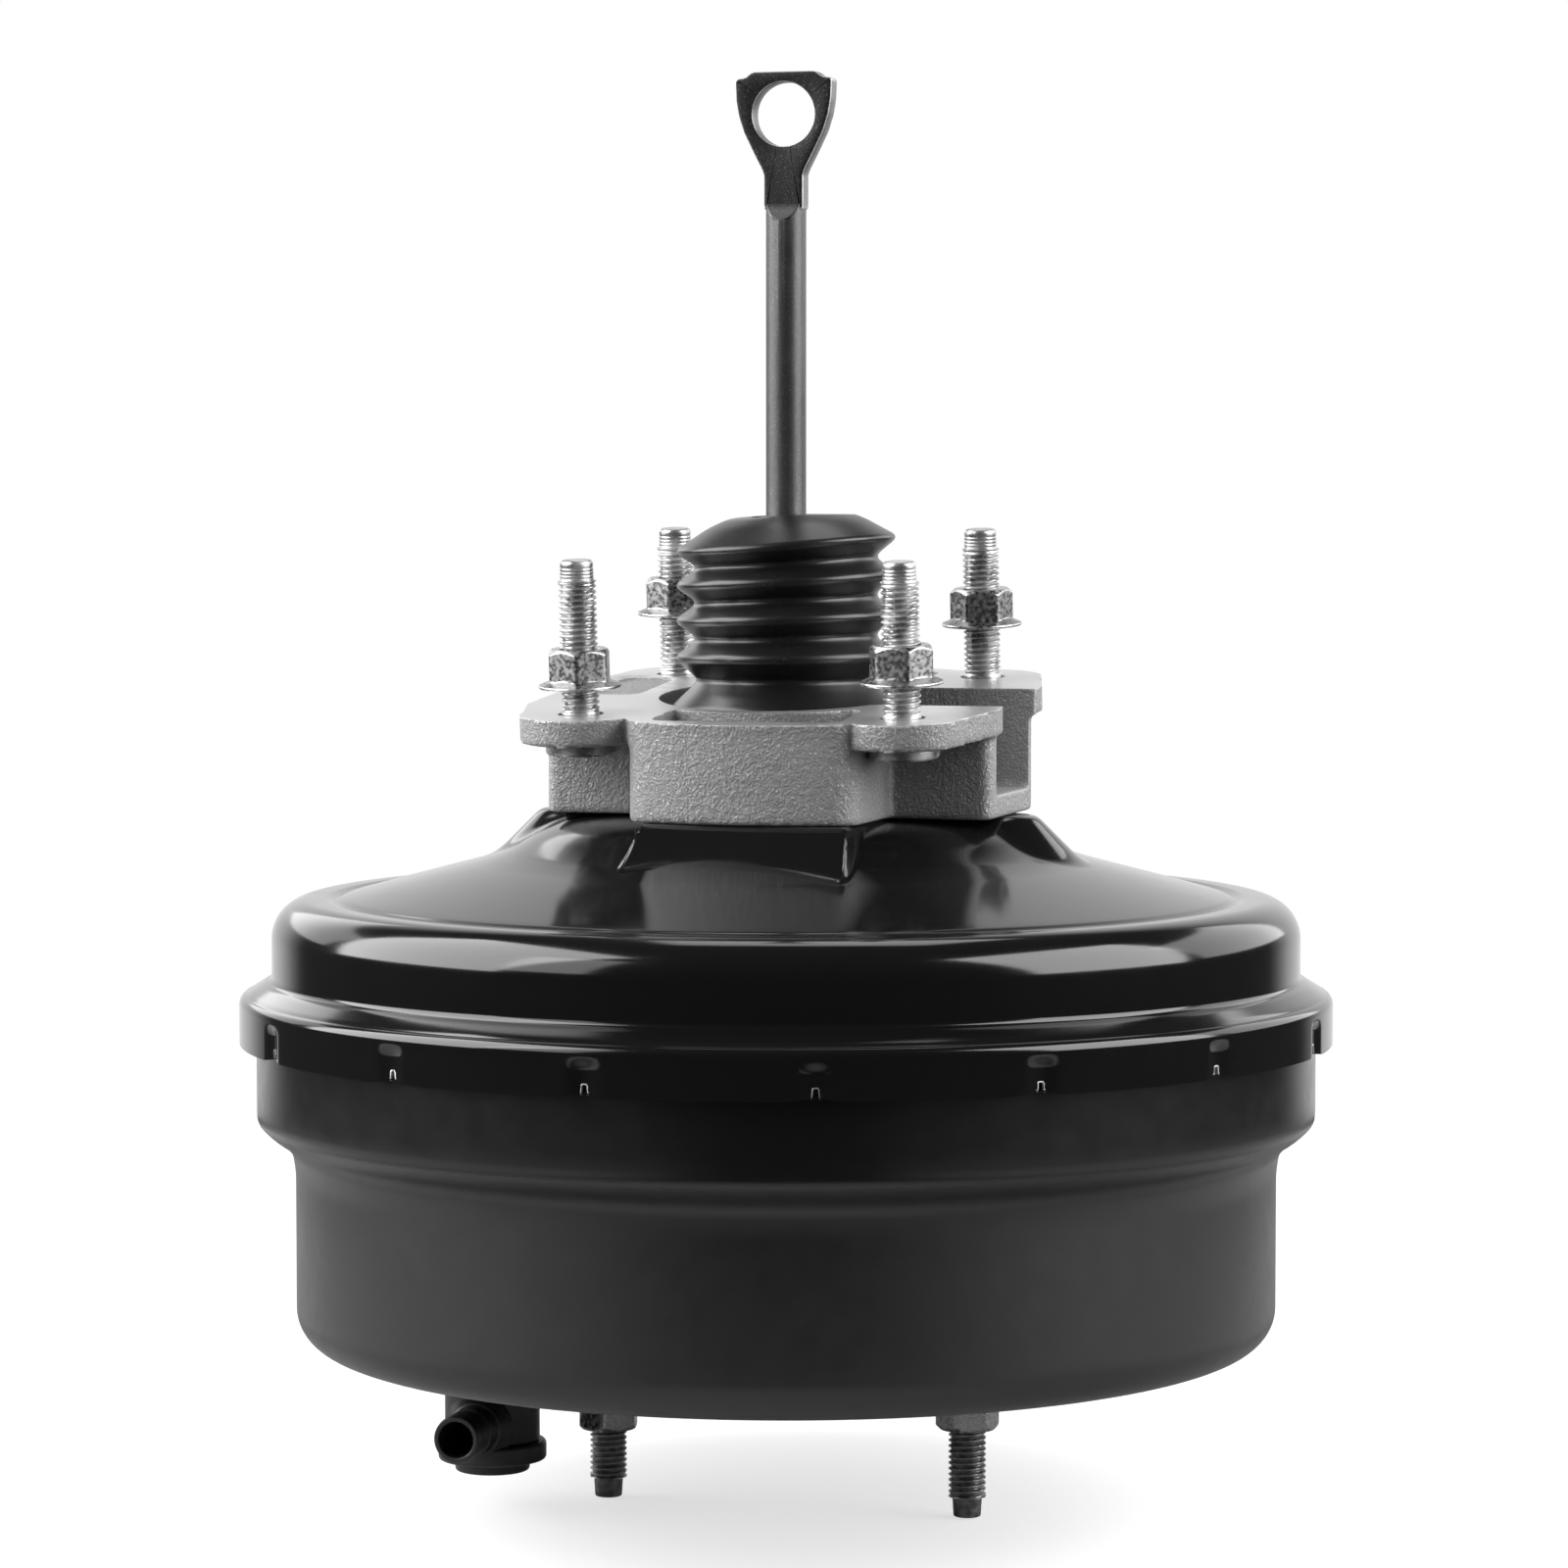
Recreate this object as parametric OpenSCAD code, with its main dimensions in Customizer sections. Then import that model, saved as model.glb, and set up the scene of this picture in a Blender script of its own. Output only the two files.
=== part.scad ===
// Tandem vacuum brake booster with firewall spacer bracket.
// Millimetres. The origin is the centre of the bracket's firewall face on the booster axis.
// +Z runs towards the pedal rod, -Z towards the master cylinder, -Y is the front of the bracket.

/* [Shells] */

// Outer radius of the crimped ring
ring_r = 143.8; // [120:0.1:170]
// Outer radius of the rear shell's wall
rear_r = 135.3; // [110:0.1:160]
// Outer radius of the front shell's band
band_r = 139.4; // [110:0.1:165]
// Outer radius of the front shell's drum
drum_r = 129.3; // [100:0.1:150]
// Height of the front shell's floor
floor_z = -171; // [-220:0.5:-130]
// Height of the master cylinder pad's face
pad_z = -184.5; // [-240:0.5:-172]
// Sheet thickness of both shells
sheet_t = 1.8; // [1:0.1:3]
// Reach of the turret's wide bulge along Y at its top
bulge_y = 61; // [50:0.5:75]
// Distance of the turret's side lobes from the axis
lobe_x = 56.5; // [45:0.5:70]
// Radius of the turret's side lobes at their top
lobe_r = 11; // [6:0.5:20]
// Number of lances bent in around the crimped ring
lance_count = 16; // [8:1:24]

/* [Bracket] */

// Tilt of the firewall face about the X axis, in degrees
face_tilt = 4.95; // [0:0.05:12]
// Height of the bracket's base
base_z = -30.7; // [-60:0.1:-20]
// Distance between neighbouring firewall studs
stud_pitch = 85.7; // [60:0.1:120]
// Thickness of the stud ears
ear_t = 7; // [4:0.5:14]
// Radius of the stud ears
ear_r = 15.8; // [12:0.1:22]
// Radius of the bore around the boot
bore_r = 33.5; // [28:0.5:45]
// Width of the side slot
slot_w = 36; // [20:1:50]
// Height of the slot's floor
slot_z = -24.4; // [-29:0.1:-10]

/* [Studs and nuts] */

// Radius of the plain part of a firewall stud
stud_r = 5; // [3:0.5:8]
// Length of a firewall stud above the face
stud_len = 40; // [20:1:80]
// Half of the distance between the master cylinder studs
pad_stud_x = 49.6; // [30:0.1:70]
// Height of the master cylinder studs' tips
pad_stud_tip = -216; // [-260:0.5:-195]
// Hexagon size across flats
hex_af = 15; // [10:0.5:19]

/* [Rod and boot] */

// Radius of the pedal rod
rod_r = 5.35; // [4:0.05:8]
// Height of the pedal eye's centre
eye_z = 152; // [80:1:220]
// Radius of the pedal eye's hole
eye_r = 8.4; // [4:0.1:12]
// Thickness of the pedal eye's plate
eye_t = 5.8; // [3:0.1:10]
// Radius of the boot's ridges
ridge_r = 29.3; // [24:0.1:32]
// Radius of the boot's valleys
valley_r = 23.6; // [21:0.1:28]

/* [Inside] */

// Outer radius of the power piston's neck
neck_r = 20; // [15:0.5:24]
// Outer radius of the power piston between the two plates
hub_r = 23; // [18:0.5:30]
// Outer radius of the diaphragm plates
plate_r = 117; // [90:1:125]
// Height of the ball at the pedal rod's inner end
ball_z = -10; // [-20:0.5:0]

/* [Check valve] */

// Position of the check valve's axis
valve_x = -75.2; // [-100:0.1:-50]
// Position of the check valve's axis across the row
valve_y = -21; // [-60:0.5:60]
// Outer radius of the check valve's body
valve_r = 12.6; // [9:0.1:18]
// Height of the hose nipple's axis
hose_z = -193.2; // [-200:0.1:-185]

/* [Hidden] */

$fn = 96;
half_pitch = stud_pitch / 2;
nut_lifts = [6.9, 8.7, 13.9, 16.4];
stud_spots = [[-half_pitch, -half_pitch], [half_pitch, -half_pitch],
    [half_pitch, half_pitch], [-half_pitch, half_pitch]];
anchor_spots = [[-9, -46.5], [16, -46.5], [-9, 46.5], [16, 46.5]];
hex_r = hex_af / 2 / cos(30);
nut_h = 10;
dog_len = 5.8;
pad_nut_tops = [-186.6, -191.5];
pad_nut_h = 6;
shoulder_r = 10.3;
corner_r = 10.5;
neck_top = 43;

// Points of an arc about c, from angle a0 to a1 in n steps.
function arc(c, r, a0, a1, n) =
    [for (i = [0 : n]) c + r * [cos(a0 + (a1 - a0) * i / n), sin(a0 + (a1 - a0) * i / n)]];

// Ring between two radii and two heights.
module ring(r_in, r_out, z0, z1) {
    rotate_extrude()
        polygon([[r_in, z0], [r_out, z0], [r_out, z1], [r_in, z1]]);
}

// Rectangle with round corners.
module round_rect(x0, y0, x1, y1, r) {
    translate([x0 + r, y0])
        square([x1 - x0 - 2 * r, y1 - y0]);
    translate([x0, y0 + r])
        square([x1 - x0, y1 - y0 - 2 * r]);
    for (x = [x0 + r, x1 - r], y = [y0 + r, y1 - r])
        translate([x, y])
            circle(r);
}

// Everything inside is drawn in the tilted frame of the firewall face.
module on_face() {
    rotate([face_tilt, 0, 0])
        children();
}

// Coil spring. Each half turn is a half ring, tipped so that its ends meet the next in a small ball.
module coil(r, wire, z0, z1, turns) {
    rise = (z1 - z0 - 2.1 * wire) / turns;
    tip = asin(rise / 4 / r);
    for (i = [0 : 2 * turns - 1])
        translate([0, 0, z0 + 1.05 * wire + rise * (i + 0.5) / 2])
            rotate([0, i % 2 == 0 ? tip : -tip, 180 * (i % 2)])
                rotate_extrude(angle = 180)
                    translate([r, 0])
                        circle(wire);
    for (i = [0 : 2 * turns])
        translate([(i % 2 == 0 ? 1 : -1) * r * cos(tip), 0, z0 + 1.05 * wire + rise * i / 2])
            sphere(1.05 * wire);
}

// Rear shell

// Solid body of the rear shell, shrunk by the wall thickness t.
module rear_form(t) {
    rotate_extrude($fn = 180)
        polygon(concat(
            [[0, -92 - t], [0, -31.2 - t], [45, -31.2 - t], [56 - 0.2 * t, -32 - t],
                [62 - 0.4 * t, -33.6 - t], [66 - 0.5 * t, -36.5 - 0.9 * t],
                [70 - 0.4 * t, -39.3 - 0.9 * t], [78 - 0.2 * t, -42.6 - t], [117.2, -52.9 - t],
                [118.5, -53.8 - t], [119.8, -53 - t], [125, -53 - t]],
            arc([125, -53 - shoulder_r], shoulder_r - t, 80, 10, 7),
            [[rear_r - t, -53 - shoulder_r], [rear_r - t, -73.5 - 0.6 * t],
                [ring_r - t, -79.2 - 0.6 * t], [ring_r - t, -92 - t]]));
    turret_cross(t);
}

// Raised cross on the dome: a wide bulge along Y with sloping ends and a narrow one along X.
module turret_cross(t) {
    foot_z = -46;
    drop = base_z - foot_z;
    top_z = base_z - t;
    lean = 0.35;
    intersection() {
        translate([-60, 0, 0])
            rotate([90, 0, 90])
                linear_extrude(height = 120)
                    flank_profile(-bulge_y, bulge_y, drop, 1, t);
        translate([0, 100, 0])
            rotate([90, 0, 0])
                linear_extrude(height = 200)
                    flank_profile(-21, 33, drop, lean, t);
    }
    translate([-lobe_x, 0, 0])
        rotate([90, 0, 90])
            linear_extrude(height = 2 * lobe_x)
                flank_profile(-lobe_r, lobe_r, drop, 1, t);
    for (x = [-lobe_x, lobe_x])
        translate([x, 0, foot_z])
            cylinder(h = top_z - foot_z, r1 = lobe_r + drop - 1.414 * t, r2 = lobe_r - 0.414 * t);
}

// Section of a bulge between x0 and x1 at its top, its sides leaning out over the drop.
module flank_profile(x0, x1, drop, lean, t) {
    wall = t * sqrt(1 + lean * lean);
    out = lean * drop - wall;
    top = lean * t - wall;
    polygon([[x0 - out, base_z - drop], [x1 + out, base_z - drop],
        [x1 + top, base_z - t], [x0 - top, base_z - t]]);
}

module rear_shell() {
    color([0.03, 0.03, 0.035]) {
        difference() {
            rear_form(0);
            rear_form(sheet_t);
            translate([0, 0, -100])
                cylinder(h = 9.5, r = 160);
            translate([0, 0, -60])
                cylinder(h = 40, r = 27.2);
            for (p = anchor_spots)
                translate([p[0], p[1], -40])
                    cylinder(h = 20, r = 4.2);
            for (i = [0 : lance_count - 1])
                rotate([0, 0, -3.7 + 360 / lance_count * i]) {
                    translate([ring_r + 7, 0, -89.9])
                        cylinder(h = 7.9, r = 8);
                    translate([ring_r - 3, -1.1, -89.6])
                        cube([6, 2.2, 2.4]);
                }
        }
        ring(27.2, 29, -32, -12);
        for (i = [0 : lance_count - 1])
            rotate([0, 0, -3.7 + 360 / lance_count * i])
                intersection() {
                    ring(140.3, 142.4, -88.6, -86.5);
                    translate([138, -1.6, -95])
                        cube([6, 3.2, 10]);
                }
    }
}

// Front shell

// Flank radius of the pad at height z, for a face radius r and a wall thickness t.
function pad_flank(r, z, t) = r + 0.444 * (z - pad_z) - 1.094 * t;

// Solid body of the master cylinder pad, shrunk by the wall thickness t.
module pad_form(t) {
    z0 = pad_z + t;
    z1 = floor_z + 5;
    for (p = [[0, 34], [36, 24], [-36, 24]])
        translate([p[0], 0, z0])
            cylinder(h = z1 - z0, r1 = pad_flank(p[1], z0, t), r2 = pad_flank(p[1], z1, t));
    translate([-36, 0, 0])
        rotate([90, 0, 90])
            linear_extrude(height = 72)
                polygon([[-pad_flank(24, z0, t), z0], [pad_flank(24, z0, t), z0],
                    [pad_flank(24, z1, t), z1], [-pad_flank(24, z1, t), z1]]);
}

// Solid body of the front shell, shrunk by the wall thickness t.
module front_form(t) {
    k = 0.45 * t;
    rotate_extrude($fn = 180)
        polygon(concat(
            [[0, -84.4 + t], [band_r - t, -84.4 + t], [band_r - t, -110 + k],
                [136 - 0.75 * t, -114.2 + k], [132 - 0.6 * t, -116.8 + k],
                [129.8 - 0.95 * t, -120 + 0.3 * k], [drum_r - t, -124],
                [drum_r - t, floor_z + corner_r]],
            arc([drum_r - corner_r, floor_z + corner_r], corner_r - t, -10, -80, 7),
            [[drum_r - corner_r, floor_z + t], [0, floor_z + t]]));
    pad_form(t);
}

module front_shell() {
    color([0.045, 0.045, 0.05])
        difference() {
            union() {
                front_form(0);
                ring(100, 141.6, -86.2, -84.4);
            }
            front_form(sheet_t);
            translate([0, 0, -190])
                cylinder(h = 20, r = 21);
            for (x = [-pad_stud_x, pad_stud_x])
                translate([x, 0, -190])
                    cylinder(h = 20, r = 5.25);
            translate([valve_x, valve_y, -180])
                cylinder(h = 20, r = 11);
        }
}

module reinforcement_plate() {
    color([0.35, 0.35, 0.36])
        translate([0, 0, pad_z + sheet_t])
            difference() {
                linear_extrude(height = 2.4) {
                    round_rect(-58, -20, 58, 20, 18);
                    circle(31);
                }
                translate([0, 0, -1])
                    cylinder(h = 5, r = 21);
                for (x = [-pad_stud_x, pad_stud_x])
                    translate([x, 0, -1])
                        cylinder(h = 5, r = 5.25);
            }
}

module pad_studs() {
    color([0.62, 0.62, 0.6])
        for (i = [0, 1]) {
            x = pad_stud_x * (1 - 2 * i);
            top = pad_nut_tops[i];
            translate([x, 0, 0]) {
                translate([0, 0, -180.3])
                    cylinder(h = 3.2, r = 9);
                translate([0, 0, top])
                    cylinder(h = -180.3 - top, r = 5.25);
                translate([0, 0, top - pad_nut_h])
                    cylinder(h = pad_nut_h, r = 4.6);
                translate([0, 0, pad_stud_tip + dog_len])
                    cylinder(h = top - pad_nut_h - pad_stud_tip - dog_len, r = stud_r);
                translate([0, 0, pad_stud_tip])
                    cylinder(h = dog_len, r1 = 3.6, r2 = 3.9);
            }
        }
}

module pad_nuts() {
    color([0.72, 0.72, 0.7])
        for (i = [0, 1])
            translate([pad_stud_x * (1 - 2 * i), 0, pad_nut_tops[i] - pad_nut_h])
                difference() {
                    intersection() {
                        rotate([0, 0, 8 - 20 * i])
                            cylinder(h = pad_nut_h, r = hex_r, $fn = 6);
                        cylinder(h = pad_nut_h, r1 = 7.6, r2 = 13);
                    }
                    translate([0, 0, -1])
                        cylinder(h = pad_nut_h + 2, r = 4.6);
                }
}

module front_seal() {
    color([0.06, 0.06, 0.06])
        rotate_extrude()
            polygon([[15, -183.5], [20.9, -183.5], [20.9, -180.2], [23.4, -180.2],
                [23.4, -177.6], [16.6, -177.6], [15, -179.5]]);
}

// Clamped stack between the shells

module housing_divider() {
    color([0.3, 0.3, 0.31])
        rotate_extrude($fn = 120)
            polygon(concat(
                [[141.4, -82.8], [141.4, -81.6], [129.8, -81.6], [129.8, -97.5]],
                arc([125.8, -97.5], 4, 0, -90, 4),
                [[60, -101.5], [52, -99.6], [36, -99.6], [31, -101.5], [26.5, -101.5],
                    [26.5, -108], [27.7, -108], [27.7, -102.7], [31.2, -102.7],
                    [36.2, -100.8], [51.8, -100.8], [59.8, -102.7], [125.8, -102.7]],
                arc([125.8, -97.5], 5.2, -80, 0, 4),
                [[131, -82.8]]));
}

module divider_seal() {
    color([0.06, 0.06, 0.06])
        rotate_extrude()
            polygon([[23.3, -107.4], [26.5, -107.4], [26.5, -101.5], [29, -101.5],
                [29, -101], [24.6, -101], [23.3, -102.4]]);
}

module bearing_seal() {
    color([0.06, 0.06, 0.06])
        difference() {
            ring(20.3, 27.2, -31, -22);
            ring(22, 25.4, -27, -21);
        }
}

// Bracket

// Outline of the bracket's top plate in the plane of the firewall face.
module plate_outline() {
    polygon([[-58.6, -42.8], [58.6, -42.8], [63.4, -25], [63.4, 25], [58.6, 42.8],
        [-58.6, 42.8], [-63.4, 25], [-63.4, -25]]);
    for (p = stud_spots)
        translate(p)
            circle(ear_r);
    for (side = [-1, 1])
        scale([1, side])
            bulge_outline(-28, 35.3, 61.5, 9.5);
}

// Outline of the walls under the plate.
module wall_outline() {
    round_rect(-59, -23.5, 61.5, 23.5, 3);
    for (side = [-1, 1])
        scale([1, side])
            bulge_outline(-27.2, 34.5, 61, 9);
    circle(bore_r + 5);
}

// Outline of a bulge from x0 to x1: a flat arc at distance y, with corners of radius r.
module bulge_outline(x0, x1, y, r) {
    arc_r = 88.5;
    reach = arc_r - r;
    c = [4, arc_r - y];
    left = 270 - asin((c[0] - x0 - r) / reach);
    right = 270 + asin((x1 - r - c[0]) / reach);
    polygon(concat([[x1, 10], [x0, 10]],
        arc(c + reach * [cos(left), sin(left)], r, 180, left, 6),
        arc(c, arc_r, left + 3, right - 3, 8),
        arc(c + reach * [cos(right), sin(right)], r, right, 360, 6)));
}

// Nut pocket between the bore's wall and a bulge.
module pocket() {
    translate([0, 0, -22])
        linear_extrude(height = 40)
            difference() {
                round_rect(-21.5, -53.7, 29, -28, 4);
                circle(bore_r + 4.5);
            }
}

module mounting_bracket() {
    color([0.62, 0.63, 0.64])
        difference() {
            union() {
                on_face()
                    translate([0, 0, -ear_t])
                        linear_extrude(height = ear_t)
                            plate_outline();
                difference() {
                    translate([0, 0, base_z])
                        linear_extrude(height = 40)
                            wall_outline();
                    on_face()
                        translate([-100, -100, -2])
                            cube([200, 200, 40]);
                }
            }
            translate([0, 0, -60])
                cylinder(h = 90, r = bore_r);
            translate([20, -slot_w / 2, slot_z])
                cube([60, slot_w, 60]);
            for (side = [-1, 1])
                scale([1, side, 1])
                    pocket();
            for (p = anchor_spots)
                translate([p[0], p[1], -40])
                    cylinder(h = 30, r = 4.2);
            on_face()
                translate([0, 0, -0.6])
                    linear_extrude(height = 5)
                        round_rect(-55, -4, -39.5, 33, 5);
            for (p = stud_spots)
                on_face()
                    translate([p[0], p[1], 0]) {
                        translate([0, 0, -20])
                            cylinder(h = 30, r = 5.25);
                        translate([0, 0, -2.5])
                            cylinder(h = 10, r = 6.05);
                    }
        }
}

module firewall_studs() {
    color([0.66, 0.66, 0.64])
        for (i = [0 : 3])
            on_face()
                translate([stud_spots[i][0], stud_spots[i][1], 0]) {
                    translate([0, 0, -ear_t - 3.3])
                        cylinder(h = 3.3, r = 9.3);
                    translate([0, 0, -ear_t])
                        cylinder(h = ear_t - 2.5, r = 5.25);
                    translate([0, 0, -2.5])
                        cylinder(h = 2.6, r = 4.8);
                    translate([0, 0, 0.1])
                        cylinder(h = nut_lifts[i] - 0.1, r = stud_r);
                    translate([0, 0, nut_lifts[i]])
                        cylinder(h = nut_h, r = 4.6);
                    translate([0, 0, nut_lifts[i] + nut_h])
                        cylinder(h = stud_len - dog_len - nut_lifts[i] - nut_h, r = 4.8);
                    translate([0, 0, stud_len - dog_len])
                        cylinder(h = dog_len, r1 = 3.9, r2 = 3.6);
                }
}

module flange_nuts() {
    color([0.74, 0.74, 0.72])
        for (i = [0 : 3])
            on_face()
                translate([stud_spots[i][0], stud_spots[i][1], nut_lifts[i]])
                    difference() {
                        union() {
                            intersection() {
                                rotate([0, 0, 12 + 17 * i])
                                    cylinder(h = nut_h, r = hex_r, $fn = 6);
                                cylinder(h = nut_h, r1 = 17.6, r2 = 7.6);
                            }
                            rotate_extrude()
                                polygon([[0, 0], [10.75, 0], [10.75, 0.9], [8.2, 3], [0, 4.2]]);
                        }
                        translate([0, 0, -1])
                            cylinder(h = 20, r = 4.6);
                    }
}

module bracket_studs() {
    color([0.6, 0.6, 0.58])
        for (p = anchor_spots)
            translate([p[0], p[1], 0]) {
                translate([0, 0, -35.5])
                    cylinder(h = 3, r = 7.5);
                translate([0, 0, -32.5])
                    cylinder(h = 10.5, r = 4.2);
                translate([0, 0, -22])
                    cylinder(h = 11, r = 4);
            }
}

module bracket_nuts() {
    color([0.7, 0.7, 0.68])
        for (p = anchor_spots)
            translate([p[0], p[1], -22])
                difference() {
                    cylinder(h = 6.5, r = 6.5 / cos(30), $fn = 6);
                    translate([0, 0, -1])
                        cylinder(h = 9, r = 4);
                }
}

// Boot

module boot() {
    v = valley_r;
    r = ridge_r;
    color([0.03, 0.03, 0.03])
        rotate_extrude()
            polygon([[9, 47.6], [17.3, 47.6], [r - 0.6, 40.6], [r, 39.7], [r - 0.6, 38.8],
                [v, 35], [r - 0.6, 31.2], [r, 30.3], [r - 0.6, 29.4], [v, 25.3],
                [r - 0.6, 21.3], [r, 20.4], [r - 0.6, 19.5], [v, 15.3], [r - 0.6, 11.1],
                [r, 10.2], [r - 0.6, 9.3], [v, 4.2], [v + 2, 2], [31.4, -9],
                [31.4, -24], [29, -24], [29, -12], [29.4, -9.5], [v, 0.5], [v - 1.6, 3],
                [v - 1.6, 5], [r - 2.4, 10.2], [v - 1.6, 15.3], [r - 2.4, 20.4],
                [v - 1.6, 25.3], [r - 2.4, 30.3], [v - 1.6, 35], [r - 2.4, 39.7],
                [16.4, 46], [9, 46]]);
}

// Power piston

module power_piston() {
    color([0.16, 0.13, 0.1])
        difference() {
            rotate_extrude()
                polygon([[0, -126], [26, -126], [26, -117.6], [30, -117.6], [30, -113.6],
                    [hub_r, -113.6], [hub_r, -68], [27, -68], [27, -65.6], [22, -65.6],
                    [22, -58], [neck_r, -55], [neck_r, neck_top], [0, neck_top]]);
            translate([0, 0, -6])
                cylinder(h = 60, r = 17);
            translate([0, 0, -14])
                cylinder(h = 10, r = 11.5);
            translate([0, 0, -45])
                cylinder(h = 40, r = 8.6);
            translate([0, 0, -119])
                cylinder(h = 80, r = 4.4);
            translate([0, 0, -130])
                cylinder(h = 12, r = 12);
            translate([-6.2, -30, -33.4])
                cube([12.4, 60, 2.9]);
            for (a = [45 : 90 : 315])
                rotate([0, 0, a])
                    translate([14.5, 0, -60])
                        cylinder(h = 56, r = 2.2);
            for (a = [0 : 60 : 300])
                rotate([0, 0, a])
                    translate([18, 0, -130])
                        cylinder(h = 50, r = 2.4);
        }
}

module stop_key() {
    color([0.55, 0.55, 0.53])
        difference() {
            translate([-6, -19, -33.2])
                cube([12, 38, 2.5]);
            translate([0, 0, -40])
                cylinder(h = 20, r = 7);
            translate([-7, 0, -40])
                cube([14, 30, 20]);
        }
}

module rear_plate() {
    p = plate_r;
    color([0.42, 0.42, 0.4])
        rotate_extrude()
            polygon([[hub_r + 0.2, -65.6], [52, -65.6], [60, -62.6], [p - 5, -62.6],
                [p - 1.6, -66.5], [p, -66.5], [p, -63], [p - 2.5, -61], [60.6, -61],
                [52.6, -64], [22.2, -64], [22.2, -65.4]]);
}

module front_plate() {
    p = plate_r - 4;
    color([0.42, 0.42, 0.4])
        rotate_extrude()
            polygon([[hub_r, -113.6], [52, -113.6], [60, -110.6], [p - 5, -110.6],
                [p - 1.6, -115.5], [p, -115.5], [p, -111], [p - 2.5, -109], [60.6, -109],
                [52.6, -112], [hub_r, -112]]);
}

module rear_diaphragm() {
    p = plate_r;
    color([0.05, 0.05, 0.05])
        rotate_extrude()
            polygon([[22.2, -64], [52.6, -64], [60.6, -61], [p - 2.5, -61], [p, -63],
                [p, -72], [p + 1, -74.6], [p + 3.4, -76.2], [132, -79.6], [134, -81.6],
                [141.4, -81.6], [141.4, -80.2], [134, -75.4], [132.4, -76.4],
                [p + 4.2, -74.4], [p + 2.2, -73.2], [p + 1.6, -71.4], [p + 1.6, -62],
                [p - 1.6, -59.4], [60, -59.4], [52, -62.4], [22.2, -62.4]]);
}

module front_diaphragm() {
    p = plate_r - 4;
    color([0.05, 0.05, 0.05])
        rotate_extrude()
            polygon([[hub_r, -112], [52.6, -112], [60.6, -109], [p - 2.5, -109], [p, -111],
                [p, -118], [p + 3, -121.5], [p + 8, -122], [133, -108], [134.5, -104],
                [134.5, -84.4], [141.4, -84.4], [141.4, -82.8], [133, -82.8],
                [133, -103.6], [131.6, -107], [p + 7.6, -120.2], [p + 3.8, -119.8],
                [p + 1.6, -117.6], [p + 1.6, -110.4], [p - 1.6, -107.4], [60, -107.4],
                [52, -110.4], [hub_r, -110.4]]);
}

module rear_plate_clip() {
    color([0.5, 0.5, 0.48])
        ring(22, 29, -62.4, -61);
}

module front_plate_clip() {
    color([0.5, 0.5, 0.48])
        ring(hub_r, 30, -110.4, -109.2);
}

module reaction_disc() {
    color([0.08, 0.08, 0.08])
        translate([0, 0, -123.5])
            cylinder(h = 5.5, r = 12);
}

module output_rod() {
    color([0.6, 0.6, 0.58])
        rotate_extrude()
            polygon([[0, -123.5], [12, -123.5], [12, -127], [7, -129], [5, -131],
                [5, -172], [6.4, -173], [6.4, -178], [4, -178.6], [4, -186.5],
                [2.6, -188], [0, -188.4]]);
}

module rod_retainer() {
    color([0.5, 0.5, 0.48])
        difference() {
            union() {
                ring(12.2, 25, -127, -126);
                for (a = [0 : 45 : 315])
                    rotate([0, 0, a])
                        translate([12, -1.6, -128])
                            cube([5, 3.2, 1.5]);
            }
            translate([0, 0, -135])
                cylinder(h = 20, r = 12);
        }
}

module poppet_retainer() {
    color([0.5, 0.5, 0.48])
        rotate_extrude()
            polygon([[15.2, -3], [16.9, -3], [16.9, 8], [12.2, 8], [12.2, 6.6],
                [15.2, 6.6]]);
}

module air_filter() {
    color([0.2, 0.2, 0.19])
        ring(9.2, 17, 32, 42);
}

module air_silencer() {
    color([0.12, 0.12, 0.12])
        ring(9.4, 17, 22, 31.8);
}

module return_spring() {
    color([0.4, 0.4, 0.39])
        coil(28.4, 1.8, -180.3, -117.6, 6);
}

// Valve parts inside the neck

module valve_plunger() {
    color([0.55, 0.55, 0.54])
        rotate_extrude()
            polygon(concat(
                [[0, -40], [8.3, -40], [8.3, -34.6], [6.4, -34.6], [6.4, -26], [8.3, -26],
                    [8.3, -9.4], [9.6, -9.4], [9.6, -5.6], [8.2, -5.6], [8.2, -6.6],
                    [5.7, -6.6], [5.7, ball_z]],
                arc([0, ball_z], 5.7, -10, -90, 6)));
}

module reaction_pin() {
    color([0.55, 0.55, 0.54])
        translate([0, 0, -115.6])
            cylinder(h = 75.6, r = 4);
}

module poppet() {
    color([0.06, 0.06, 0.06])
        rotate_extrude()
            polygon([[7.6, -5.3], [14.8, -5.3], [14.8, -3.3], [12, -2.6], [12, 1],
                [14.6, 2], [14.6, 4.5], [12.2, 4.5], [10.6, 2.2], [10.6, -2.6],
                [7.6, -3]]);
}

module poppet_spring() {
    color([0.5, 0.5, 0.48])
        coil(8.6, 0.5, -2.7, 17.7, 5);
}

module rod_spring() {
    color([0.5, 0.5, 0.48])
        coil(12.4, 0.6, 8, 17.7, 3);
}

// Outline of the pedal eye, seen from the front.
module eye_outline() {
    polygon([[-5.75, eye_z - 25], [-5.75, eye_z - 15], [-8.6, eye_z - 9.6],
        [-11.2, eye_z - 4], [-12.4, eye_z], [-13.1, eye_z + 5], [-13.1, eye_z + 9.4],
        [-10, eye_z + 9.7], [-8.4, eye_z + 11.2], [8.4, eye_z + 11.2], [10, eye_z + 9.7],
        [13.1, eye_z + 9.4], [13.1, eye_z + 5], [12.4, eye_z], [11.2, eye_z - 4],
        [8.6, eye_z - 9.6], [5.75, eye_z - 15], [5.75, eye_z - 25]]);
}

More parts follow.
